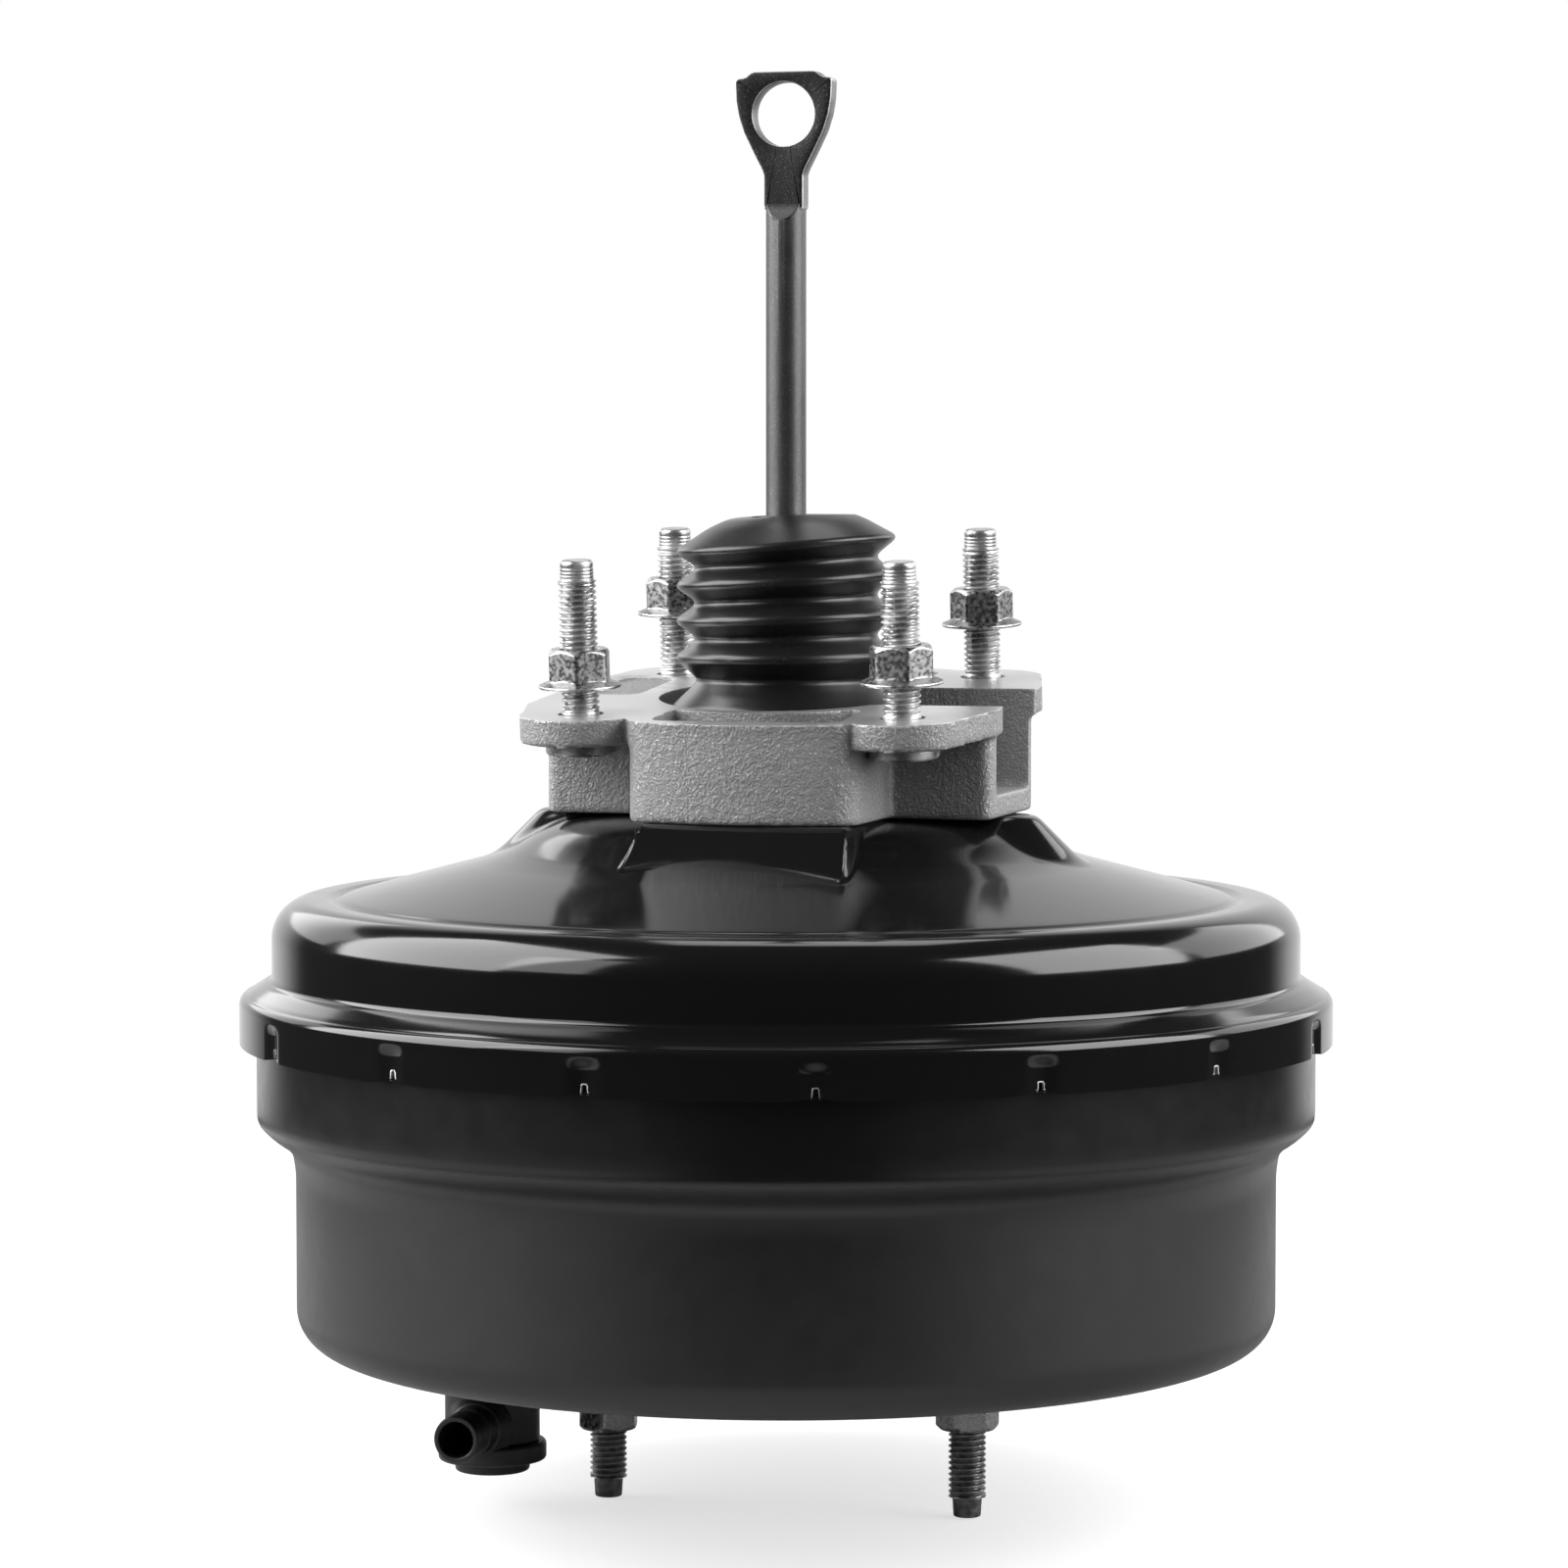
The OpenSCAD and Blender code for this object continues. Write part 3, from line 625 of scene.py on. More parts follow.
@dataclass(frozen=True)
class RodSteel(Finish):
    """Drawn and plated rod steel with painted glints for its sparkle, dark on its forged flat faces."""

    forged_above: float = 1.0
    forged_base: float = 0.02
    painted_edge_highlight: float = 0.0

    def forged(self, tree: bpy.types.NodeTree) -> tuple[Socket, Socket]:
        """Masks of the flat faces and of the painted highlight on their eased edges, by height and direction.

        Args:
            tree: The material's tree.

        Returns:
            The faces' mask and the mask of the painted edge highlight.
        """
        place = add_node(tree, "ShaderNodeTexCoord")
        height = along_node(tree, place.outputs["Object"], UPWARDS)
        facing = along_node(tree, place.outputs["Normal"], BACKWARDS)
        turned_out = math_node(tree, "ABSOLUTE", facing)
        above = math_node(tree, "GREATER_THAN", height, self.forged_above)
        face = math_node(tree, "MULTIPLY", above, ramp_node(tree, turned_out, 0.86, 0.95))
        oblique = ramp_node(tree, turned_out, 0.15, 0.35)
        eased = math_node(tree, "SUBTRACT", oblique, ramp_node(tree, turned_out, 0.9, 0.98))
        return face, math_node(tree, "MULTIPLY", above, eased)

    def detail(self, tree: bpy.types.NodeTree, shader: bpy.types.Node) -> None:
        """Painted glints, dark forged faces, a painted highlight on the eased edges, and worn edges."""
        grain = GRAIN.place(tree, Scale=2600.0, Spark_Level=0.6)
        cloud = GRAIN.place(tree, Scale=260.0)
        wear = WEAR.place(tree, Edge=0.54, Gain=22.0, Scale=900.0)
        spark = add_node(tree, "ShaderNodeClamp", Value=grain["Spark"]).outputs[0]
        face, eased = self.forged(tree)
        colour = self.shades(tree, cloud["Patch"], 0.7, 1.3)
        dark = mix_colours(tree, cloud["Patch"], grey(self.forged_base * 0.7), grey(self.forged_base * 1.3))
        colour = mix_colours(tree, face, colour, dark)
        # Painted highlight: the eased edges of the forged faces get a light grey base colour.
        if self.painted_edge_highlight:
            colour = mix_colours(tree, eased, colour, grey(self.painted_edge_highlight))
        # Painted glints: a few bright grains get a light grey base colour.
        colour = mix_colours(tree, math_node(tree, "MULTIPLY", spark, 0.12), colour, grey(0.6))
        colour = mix_colours(tree, wear["Mask"], colour, grey(0.8))
        self.link(tree, shader, "Base Color", colour)
        rough = self.spread(tree, cloud["Patch"], self.roughness - 0.1, self.roughness + 0.1)
        self.link(tree, shader, "Roughness", rough)
        self.add_bump(tree, shader, grain["Height"], 0.2 * MM)


MARK_ANGLES = tuple(math.radians(a) for a in (-123.5, -99.4, -44.0))
REAR_ENAMEL = GlossEnamel("gloss black enamel", 0.0045, 0.12, bump=0.05)
FRONT_COAT = SatinCoat(
    "satin black coat", 0.011, 0.36, bump=0.16,
    mark_angles=MARK_ANGLES, mark_low=-109.0 * MM, mark_high=-92.0 * MM, gloss_above=-112.0 * MM,
)
CASTING = CastAluminium("cast aluminium", 0.24, 0.6, metallic=0.35, bump=1.0)
ZINC = ZincPlate("bright zinc", 0.34, 0.34, metallic=1.0, bump=0.10, mottle=2600.0)
ZINC_DULL = ZincPlate("dull zinc", 0.24, 0.4, metallic=1.0, bump=0.08, mottle=1400.0)
THREAD_ZINC = ZincPlate("thread zinc", 0.42, 0.34, metallic=0.78, bump=0.03, mottle=500.0)
BOOT = BootRubber("boot rubber", 0.006, 0.3, bump=0.12)
ROD = RodSteel("rod steel", 0.075, 0.4, metallic=0.8, bump=0.2, forged_above=124.4 * MM)
EYE = RodSteel("eye steel", 0.14, 0.42, metallic=0.6, bump=0.2, forged_above=120.0 * MM, painted_edge_highlight=0.62)
NYLON = Finish("black nylon", 0.012, 0.42, bump=0.12, grain_scale=900.0)
SEAL = Finish("seal rubber", 0.02, 0.55, bump=0.15, grain_scale=700.0)
SHEET = Finish("plated sheet", 0.5, 0.34, metallic=0.95, bump=0.1, grain_scale=500.0)
SPRING = Finish("spring steel", 0.3, 0.38, metallic=0.95, bump=0.1, grain_scale=1200.0)
TURNED = Finish("turned steel", 0.55, 0.3, metallic=0.95, bump=0.1, grain_scale=1500.0)
RESIN = Finish("moulded resin", 0.035, 0.5, tint=-0.15, bump=0.15, grain_scale=700.0)
FELT = Finish("filter felt", 0.12, 0.95, bump=0.8, grain_scale=900.0)
FOAM = Finish("filter foam", 0.05, 0.95, bump=0.9, grain_scale=600.0)


# Mesh helpers


def make_object(name: str, mesh: bpy.types.Mesh, finish: Finish, shading: Shading) -> bpy.types.Object:
    """Makes a scene object of a mesh.

    Args:
        name: The piece's name.
        mesh: Its mesh.
        finish: Its finish.
        shading: How it is shaded.

    Returns:
        The new object.
    """
    mesh.shade_smooth()
    if shading is not Shading.SMOOTH:
        mesh.set_sharp_from_angle(angle=math.radians(shading.value))
    mesh.materials.clear()
    mesh.materials.append(finish.material())
    made = bpy.data.objects.new(name, mesh)
    bpy.context.scene.collection.objects.link(made)
    return made


def grid_faces(rows: int, columns: int, start: int = 0, closed: bool = False) -> list[tuple[int, ...]]:
    """Quads between rows of points that close around.

    Args:
        rows: Number of rows.
        columns: Points in each row.
        start: Index of the first point.
        closed: Whether the last row joins the first.

    Returns:
        The faces, facing outward where the rows run upward and the columns counter-clockwise.
    """
    faces = []
    for i in range(rows if closed else rows - 1):
        a = start + i * columns
        b = start + (i + 1) % rows * columns
        for j in range(columns):
            k = (j + 1) % columns
            faces.append((a + j, a + k, b + k, b + j))
    return faces


def mesh_from(name: str, parts: Sequence[Part]) -> bpy.types.Mesh:
    """Joins point and face lists into a mesh with outward normals.

    Args:
        name: The mesh's name.
        parts: Pairs of points and faces, with indices counted in each part.

    Returns:
        The mesh.
    """
    points, faces, base = [], [], 0
    for part_points, part_faces in parts:
        points.append(np.asarray(part_points, float).reshape(-1, 3))
        faces += [tuple(base + i for i in face) for face in part_faces]
        base += len(points[-1])
    mesh = bpy.data.meshes.new(name)
    mesh.from_pydata(np.concatenate(points).tolist(), [], faces)
    tidy = bmesh.new()
    tidy.from_mesh(mesh)
    bmesh.ops.remove_doubles(tidy, verts=tidy.verts, dist=1e-7)
    bmesh.ops.dissolve_degenerate(tidy, edges=tidy.edges, dist=1e-8)
    bmesh.ops.recalc_face_normals(tidy, faces=tidy.faces)
    tidy.to_mesh(mesh)
    tidy.free()
    mesh.validate()
    return mesh


def ring_grid(rows: np.ndarray) -> Part:
    """A closed body of rows of points, each row a ring, with its two ends capped.

    Args:
        rows: Points as rows by columns by 3.

    Returns:
        Points and faces.
    """
    count, columns, _ = rows.shape
    points = rows.reshape(-1, 3)
    caps = [tuple(reversed(range(columns))), tuple(range((count - 1) * columns, count * columns))]
    return points, grid_faces(count, columns) + caps


def tube_grid(rows: np.ndarray) -> Part:
    """A body whose last row of points joins its first, such as a ring.

    Args:
        rows: Points as rows by columns by 3.

    Returns:
        Points and faces.
    """
    count, columns, _ = rows.shape
    return rows.reshape(-1, 3), grid_faces(count, columns, closed=True)


def turned(profile: Sequence[Point], columns: int = 96, closed: bool = False) -> Part:
    """Turns a profile of radius and height around Z.

    Args:
        profile: Pairs of radius and height, in metres.
        columns: Points around.
        closed: Whether the profile is a closed loop.

    Returns:
        Points and faces.
    """
    angles = np.arange(columns) * 2 * math.pi / columns
    line = np.array(profile, float)
    rows = np.empty((len(line), columns, 3))
    rows[:, :, 0] = line[:, :1] * np.cos(angles)
    rows[:, :, 1] = line[:, :1] * np.sin(angles)
    rows[:, :, 2] = line[:, 1:]
    return tube_grid(rows) if closed else ring_grid(rows)


def rounded(profile: Sequence[Point], radius: float, steps: int = 4, closed: bool = False) -> list[Point]:
    """Rounds the corners of a profile.

    Args:
        profile: Corner points.
        radius: Largest corner radius.
        steps: Points on each corner.
        closed: Whether the last corner joins the first.

    Returns:
        The rounded profile.
    """
    corners = [np.array(p, float) for p in profile]
    count = len(corners)
    made: list[Point] = []
    for i, corner in enumerate(corners):
        if not closed and i in (0, count - 1):
            made.append(tuple(corner))
            continue
        before, after = corners[i - 1] - corner, corners[(i + 1) % count] - corner
        reach = min(radius, 0.45 * np.linalg.norm(before), 0.45 * np.linalg.norm(after))
        a = corner + before / np.linalg.norm(before) * reach
        b = corner + after / np.linalg.norm(after) * reach
        for t in np.linspace(0.0, 1.0, steps):
            made.append(tuple((1 - t) ** 2 * a + 2 * t * (1 - t) * corner + t * t * b))
    return made


def moved(part: Part, matrix: Matrix) -> Part:
    """Moves a part's points by a matrix.

    Args:
        part: Points and faces.
        matrix: The move.

    Returns:
        The moved points and the same faces.
    """
    points, faces = part
    turn = np.array(matrix.to_3x3())
    return points @ turn.T + np.array(matrix.translation), faces


def face_matrix(x: float, y: float, lift: float = 0.0) -> Matrix:
    """Matrix that stands a part on the tilted firewall face at a place of that face.

    Args:
        x: Place across the face.
        y: Place up the face.
        lift: Height above the face.

    Returns:
        The matrix.
    """
    return Matrix.Rotation(FACE_TILT, 4, "X") @ Matrix.Translation((x, y, lift))


def smooth_max(a: np.ndarray, b: np.ndarray, width: float) -> np.ndarray:
    """Larger of two fields, blended over a width.

    Args:
        a: First field.
        b: Second field.
        width: Width of the blend.

    Returns:
        The blended field.
    """
    h = np.clip(0.5 + 0.5 * (a - b) / width, 0, 1)
    return b + (a - b) * h + width * h * (1 - h)


def smooth_min(a: np.ndarray, b: np.ndarray, width: float) -> np.ndarray:
    """Smaller of two fields, blended over a width.

    Args:
        a: First field.
        b: Second field.
        width: Width of the blend.

    Returns:
        The blended field.
    """
    return -smooth_max(-a, -b, width)


def arc_points(centre: Point, radius: float, start: float, end: float, steps: int) -> list[Point]:
    """Points on an arc, with angles in degrees.

    Args:
        centre: The arc's centre.
        radius: Its radius.
        start: First angle.
        end: Last angle.
        steps: Number of points.

    Returns:
        The points.
    """
    angles = np.radians(np.linspace(start, end, steps))
    return [(centre[0] + radius * math.cos(a), centre[1] + radius * math.sin(a)) for a in angles]


def line_points(a: Point, b: Point, steps: int) -> list[Point]:
    """Points on a straight line, without its first point.

    Args:
        a: The point that is left out.
        b: The last point.
        steps: Number of points.

    Returns:
        The points.
    """
    return [(a[0] + (b[0] - a[0]) * t, a[1] + (b[1] - a[1]) * t) for t in np.linspace(0, 1, steps + 1)[1:]]


@dataclass
class SubAssembly:
    """A group of pieces that is built and dressed together."""

    pieces: list[bpy.types.Object] = field(default_factory=list)

    def add(
        self, name: str, parts: Sequence, finish: Finish, body: str, slot: str,
        shading: Shading = Shading.CREASED, replaces: Sequence[str] = (),
    ) -> bpy.types.Object:
        """Adds a piece to the sub-assembly.

        Args:
            name: The piece's name.
            parts: Its points and faces, or its finished mesh.
            finish: Its finish.
            body: The CAD body that it rides on, or nothing for a piece that rides on no body.
            slot: Name of a material slot; not used.
            shading: How it is shaded.
            replaces: The CAD nodes that it stands for.

        Returns:
            The new object.
        """
        mesh = parts if isinstance(parts, bpy.types.Mesh) else mesh_from(name, parts)
        piece = make_object(name, mesh, finish, shading)
        if body:
            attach(piece, body)
        if replaces:
            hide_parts(*replaces)
        self.pieces.append(piece)
        LOG.info("%s: %d faces on %s", name, len(mesh.polygons), body or "two bodies")
        return piece


# Shells


@dataclass
class RearShell(SubAssembly):
    """Pressed rear shell: turret under the spacer, cone, rounded shoulder, wall and crimped ring."""

    ring_r: float = 143.8 * MM
    wall_r: float = 135.3 * MM
    hole_r: float = 27.2 * MM
    bulge_y: float = 61.0 * MM
    bulge_x: tuple[float, float] = (-21.0 * MM, 33.0 * MM)
    bulge_lean: float = 0.25
    lobe_x: float = 56.5 * MM
    lobe_r: float = 11.0 * MM
    edge_z: float = -90.5 * MM
    sheet: float = 1.8 * MM
    dimple: float = 1.0 * MM
    softness: float = 5.0 * MM
    sector_columns: int = 44

    def angles(self, radius: np.ndarray) -> np.ndarray:
        """Column angles: even over the turret, closer together at the lances on the ring.

        Args:
            radius: Radius of each row.

        Returns:
            Angles around the axis as rows by columns, in radians.
        """
        share = np.linspace(-1, 1, self.sector_columns, endpoint=False)
        gathered = np.sign(share) * np.abs(share) ** 1.7
        blend = np.clip((radius - 100 * MM) / (28 * MM), 0, 1)[:, None]
        sector = (share + (gathered - share) * blend) * math.pi / LANCE_COUNT
        starts = LANCE_START + np.arange(LANCE_COUNT) * 2 * math.pi / LANCE_COUNT
        return (starts[None, :, None] + sector[:, None, :]).reshape(len(radius), -1)

    @staticmethod
    def eased(drop: np.ndarray, width: float) -> np.ndarray:
        """Drop below a plateau, with its edge rounded over a width on either side.

        Args:
            drop: Distances below the plateau.
            width: Half of the rounding's width.

        Returns:
            The rounded drop.
        """
        bend = np.clip(drop + width, 0, None) ** 2 / (4 * width)
        return np.where(drop > width, drop, bend)

    def turret(self, x: np.ndarray, y: np.ndarray) -> np.ndarray:
        """Height of the raised cross: a wide bulge along Y and a narrow one along X.

        Args:
            x, y: Places in metres.

        Returns:
            The cross's height, falling away outside its top outline.
        """
        front = self.eased(np.abs(y) - self.bulge_y, 1.6 * MM)
        left, right = self.bulge_x
        ends = self.eased(np.maximum(left - x, x - right) / self.bulge_lean, 3.0 * MM)
        wide = (front ** 5 + ends ** 5) ** 0.2
        reach = np.clip(np.abs(x) - self.lobe_x, 0, None)
        narrow = self.eased(np.hypot(reach, y) - self.lobe_r, 1.6 * MM)
        return BASE_Z - np.clip(smooth_min(wide, narrow, 2.0 * MM), 0, None)

    def dome(self, radius: np.ndarray) -> np.ndarray:
        """Height of the smooth dome and the cone around it.

        Args:
            radius: Distances from the axis.

        Returns:
            The heights.
        """
        corners = [(0, -31.2), (45, -31.2), (56, -32), (62, -33.6), (70, -39.3), (78, -42.6), (140, -58.9)]
        line = np.array(corners) * MM
        shifts = np.linspace(-self.softness, self.softness, 15)
        return np.mean([np.interp(radius + shift, line[:, 0], line[:, 1]) for shift in shifts], axis=0)

    def profile(self) -> list[Point]:
        """Outer profile from the middle hole to the ring's lower edge.

        Returns:
            Pairs of radius and height; the turret and the cone replace the first stretch's heights.
        """
        made = [(self.hole_r, BASE_Z)]
        made += line_points(made[-1], (40 * MM, BASE_Z), 4)
        made += line_points(made[-1], (84 * MM, BASE_Z), 98)
        made += line_points(made[-1], (115.5 * MM, BASE_Z), 12)
        made += [(117.0 * MM, -52.9 * MM), (118.0 * MM, -53.45 * MM), (118.9 * MM, -53.5 * MM)]
        made += [(119.8 * MM, -53.05 * MM), (121.5 * MM, -52.95 * MM), (125 * MM, -53 * MM)]
        made += arc_points((125 * MM, -63.3 * MM), 10.3 * MM, 84, 0, 18)
        made += line_points(made[-1], (self.wall_r, -72.5 * MM), 4)
        made += arc_points((self.wall_r + 1.6 * MM, -72.9 * MM), 1.6 * MM, 180, 262, 6)
        made += line_points(made[-1], (141.6 * MM, -77.6 * MM), 4)
        made += arc_points((141.4 * MM, -80.2 * MM), 2.4 * MM, 80, 0, 8)
        made += line_points(made[-1], (self.ring_r, self.edge_z), 36)
        return made

    def surface(self, inset: float) -> np.ndarray:
        """One side of the sheet.

        Args:
            inset: Distance below the outer side.

        Returns:
            Points as rows by columns by 3.
        """
        line = np.array(self.profile())
        angles = self.angles(line[:, 0])
        radius = np.repeat(line[:, :1], angles.shape[1], axis=1)
        height = np.repeat(line[:, 1:], angles.shape[1], axis=1)
        cone = radius < 116 * MM
        x, y = radius * np.cos(angles), radius * np.sin(angles)
        raised = smooth_max(self.turret(x, y), self.dome(radius), 2.2 * MM)
        height = np.minimum(np.where(cone, raised, height), BASE_Z)
        along = self.lance_place(angles)
        lift = self.edge_lift(along, height, radius)
        radius = radius - self.lance_depth(along, height, radius)
        height = height + lift
        if inset:
            normal = np.gradient(line, axis=0)
            length = np.hypot(normal[:, 0], normal[:, 1])[:, None]
            radius = radius + inset * (normal[:, 1:] / length) * np.where(cone, 0, 1)
            height = height - inset * np.where(cone, 1.03, normal[:, :1] / length)
        rows = np.stack([radius * np.cos(angles), radius * np.sin(angles), height], -1)
        return rows

    def lance_place(self, angles: np.ndarray) -> np.ndarray:
        """Distance along the ring from the nearest lance.

        Args:
            angles: Angles around the axis.

        Returns:
            Signed distances along the ring.
        """
        step = 2 * math.pi / LANCE_COUNT
        turn = (angles - LANCE_START + step / 2) % step - step / 2
        return turn * self.ring_r

    def lance_depth(self, along: np.ndarray, height: np.ndarray, radius: np.ndarray) -> np.ndarray:
        """How far the ring's wall is pressed in around each lance.

        Args:
            along: Distances from the nearest lance.
            height: Heights.
            radius: Radii.

        Returns:
            Depth at each point.
        """
        across = np.clip(1 - (along / (4.6 * MM)) ** 2, 0, 1) ** 1.5
        down = np.clip((-80.6 * MM - height) / (3.4 * MM), 0, 1)
        dent = self.dimple * across * down * down * (3 - 2 * down)
        reach = 0.72 * MM + 0.11 * (-87.4 * MM - height)
        slit = 1.6 * MM * (np.abs(along) < reach) * (height < -87.4 * MM) * (height > -89.9 * MM)
        return np.where((radius > 140 * MM) & (height < -80 * MM), dent + slit, 0.0)

    def edge_lift(self, along: np.ndarray, height: np.ndarray, radius: np.ndarray) -> np.ndarray:
        """Rise of the ring's lower edge at each lance.

        Args:
            along: Distances from the nearest lance.
            height: Heights.
            radius: Radii.

        Returns:
            The rise at each point.
        """
        near = np.exp(-((along / (4.2 * MM)) ** 2))
        down = np.clip((-88.6 * MM - height) / (1.9 * MM), 0, 1)
        return np.where(radius > 138 * MM, 0.7 * MM * near * down, 0.0)

    def tabs(self) -> list[Part]:
        """Bright sheared edges around the lances' small openings.

        Returns:
            A part for each edge.
        """
        made = []
        low, high, foot, head, thin = -89.9 * MM, -87.35 * MM, 1.0 * MM, 0.72 * MM, 0.16 * MM
        bars = (((-foot, low), (-head, high)), ((-head, high), (head, high)), ((head, high), (foot, low)))
        for i in range(LANCE_COUNT):
            angle = LANCE_START + i * 2 * math.pi / LANCE_COUNT
            outwards = Matrix.Translation((self.ring_r - self.dimple - 0.3 * MM, 0, 0))
            place = Matrix.Rotation(angle, 4, "Z") @ outwards
            for (s0, z0), (s1, z1) in bars:
                along = np.array([s1 - s0, z1 - z0])
                side = np.array([-along[1], along[0]]) / np.hypot(*along) * thin
                corners = [(s0 + side[0], z0 + side[1]), (s0 - side[0], z0 - side[1])]
                corners += [(s1 - side[0], z1 - side[1]), (s1 + side[0], z1 + side[1])]
                depths = (-0.6 * MM, 0.2 * MM, 0.34 * MM)
                rows = np.array([[(depth, s, z) for s, z in corners] for depth in depths])
                rows[2] = rows[2].mean(axis=0) + (rows[2] - rows[2].mean(axis=0)) * 0.85
                made.append(moved(ring_grid(rows), place))
        return made

    def build(self) -> None:
        """Builds the shell and the lances' edges."""
        outer = self.surface(0.0)
        inner = self.surface(self.sheet)[::-1]
        self.add(
            "rear_shell_sheet", [tube_grid(np.concatenate([outer, inner]))], REAR_ENAMEL,
            "housing", "gloss_black_paint", Shading.SOFT, ["rear_shell"],
        )
        self.add("lance_edges", self.tabs(), ZINC_DULL, "housing", "gloss_black_paint")


@dataclass
class FrontShell(SubAssembly):
    """Pressed front shell: clamped rim, band, bevel, drum, rounded corner, floor and pad."""

    band_r: float = 139.4 * MM
    drum_r: float = 129.3 * MM
    floor_z: float = -171 * MM
    pad_z: float = -184.5 * MM
    hole_r: float = 21 * MM
    sheet: float = 1.8 * MM
    columns: int = 288

    def wall(self) -> list[Point]:
        """Profile from the rim down to the floor's edge.

        Returns:
            Pairs of radius and height.
        """
        made = [(141.2 * MM, -84.6 * MM), (141.2 * MM, -86 * MM), (self.band_r + 0.3 * MM, -86.4 * MM)]
        made += [(self.band_r, -87.2 * MM)]
        made += line_points(made[-1], (self.band_r, -108.2 * MM), 6)
        made += rounded(
            [
                made.pop(), (self.band_r - 0.15 * MM, -111.2 * MM), (136 * MM, -114.3 * MM),
                (132.4 * MM, -116.6 * MM), (130.2 * MM, -119.2 * MM), (self.drum_r, -124.5 * MM),
                (self.drum_r, -132 * MM),
            ],
            3 * MM, 5,
        )
        made += line_points(made[-1], (self.drum_r, self.floor_z + 10.5 * MM), 8)
        made += arc_points((self.drum_r - 10.5 * MM, self.floor_z + 10.5 * MM), 10.5 * MM, -6, -90, 16)
        return made

    def floor(self) -> list[float]:
        """Radii of the floor's rows, from its edge to the middle hole.

        Returns:
            The radii in metres.
        """
        edge = self.drum_r - 10.5 * MM
        return list(np.linspace(edge, 78 * MM, 8)[1:]) + list(np.linspace(78 * MM, self.hole_r, 54)[1:])

    def pad(self, x: np.ndarray, y: np.ndarray) -> np.ndarray:
        """Height of the floor with the raised master cylinder pad.

        Args:
            x, y: Places in metres.

        Returns:
            The height, lower on the pad.
        """
        along = np.clip(np.abs(x) - 36 * MM, 0, None)
        ends = np.hypot(along, y) - 24 * MM
        middle = np.hypot(x, y) - 34 * MM
        out = smooth_min(ends, middle, 7 * MM)
        rise = self.pad_z + np.clip(smooth_max(out, np.zeros_like(out), 3 * MM), 0, None) / 0.46
        return smooth_min(rise, np.full_like(rise, self.floor_z), 4 * MM)

    def surface(self, inset: float) -> np.ndarray:
        """One side of the sheet.

        Args:
            inset: Distance inside the outer side.

        Returns:
            Points as rows by columns by 3.
        """
        angles = np.arange(self.columns) * 2 * math.pi / self.columns
        line = np.array(self.wall())
        normal = np.gradient(line, axis=0)
        normal /= np.hypot(normal[:, 0], normal[:, 1])[:, None]
        line = line + inset * np.stack([normal[:, 1], -normal[:, 0]], -1)
        radii = np.concatenate([line[:, 0], np.minimum(self.floor(), line[-1, 0])])
        x, y = radii[:, None] * np.cos(angles), radii[:, None] * np.sin(angles)
        height = np.empty_like(x)
        height[: len(line)] = line[:, 1:]
        height[len(line):] = self.pad(x[len(line):], y[len(line):]) + inset
        return np.stack([x, y, height], -1)

    def build(self) -> None:
        """Builds the shell."""
        outer = self.surface(0.0)
        inner = self.surface(self.sheet)[::-1]
        self.add(
            "front_shell_sheet", [tube_grid(np.concatenate([outer, inner]))], FRONT_COAT,
            "housing", "satin_black_paint", Shading.SOFT, ["front_shell"],
        )


# Spacer


@dataclass
class Spacer(SubAssembly):
    """Cast firewall spacer, grown from the CAD solid: rounded like a casting, then faced off."""

    voxel: float = 0.75 * MM
    smoothing: int = 5

    def grown(self) -> bpy.types.Object:
        """Copies the CAD solid with its face raised, so that the face can be cut clean later.

        Returns:
            A temporary object.
        """
        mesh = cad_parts["mounting_bracket"].data.copy()
        mesh.name = "spacer casting"
        for vertex in mesh.vertices:
            height = vertex.co.dot(FACE_NORMAL)
            if abs(height) < FACE_TOLERANCE:
                vertex.co += FACE_NORMAL * 2.4 * MM
        made = bpy.data.objects.new("spacer casting", mesh)
        bpy.context.scene.collection.objects.link(made)
        return made

    def build(self) -> None:
        """Rounds the casting, cuts its face and adds it."""
        raw = self.grown()
        remesh = raw.modifiers.new("round", "REMESH")
        remesh.mode = "VOXEL"
        remesh.voxel_size = self.voxel
        smooth = raw.modifiers.new("ease", "SMOOTH")
        smooth.factor = 0.5
        smooth.iterations = self.smoothing
        bpy.context.view_layer.update()
        mesh = bpy.data.meshes.new_from_object(raw.evaluated_get(bpy.context.evaluated_depsgraph_get()))
        bpy.data.objects.remove(raw)
        tidy = bmesh.new()
        tidy.from_mesh(mesh)
        cut = bmesh.ops.bisect_plane(
            tidy, geom=tidy.verts[:] + tidy.edges[:] + tidy.faces[:], plane_co=(0, 0, 0),
            plane_no=FACE_NORMAL, clear_outer=True,
        )
        rim = [e for e in cut["geom_cut"] if isinstance(e, bmesh.types.BMEdge)]
        bmesh.ops.triangle_fill(tidy, edges=rim, use_beauty=True, normal=FACE_NORMAL)
        bmesh.ops.recalc_face_normals(tidy, faces=tidy.faces)
        tidy.to_mesh(mesh)
        tidy.free()
        self.add(
            "spacer_casting", mesh, CASTING, "housing", "cast_aluminium", Shading.SOFT, ["mounting_bracket"],
        )


# Fasteners


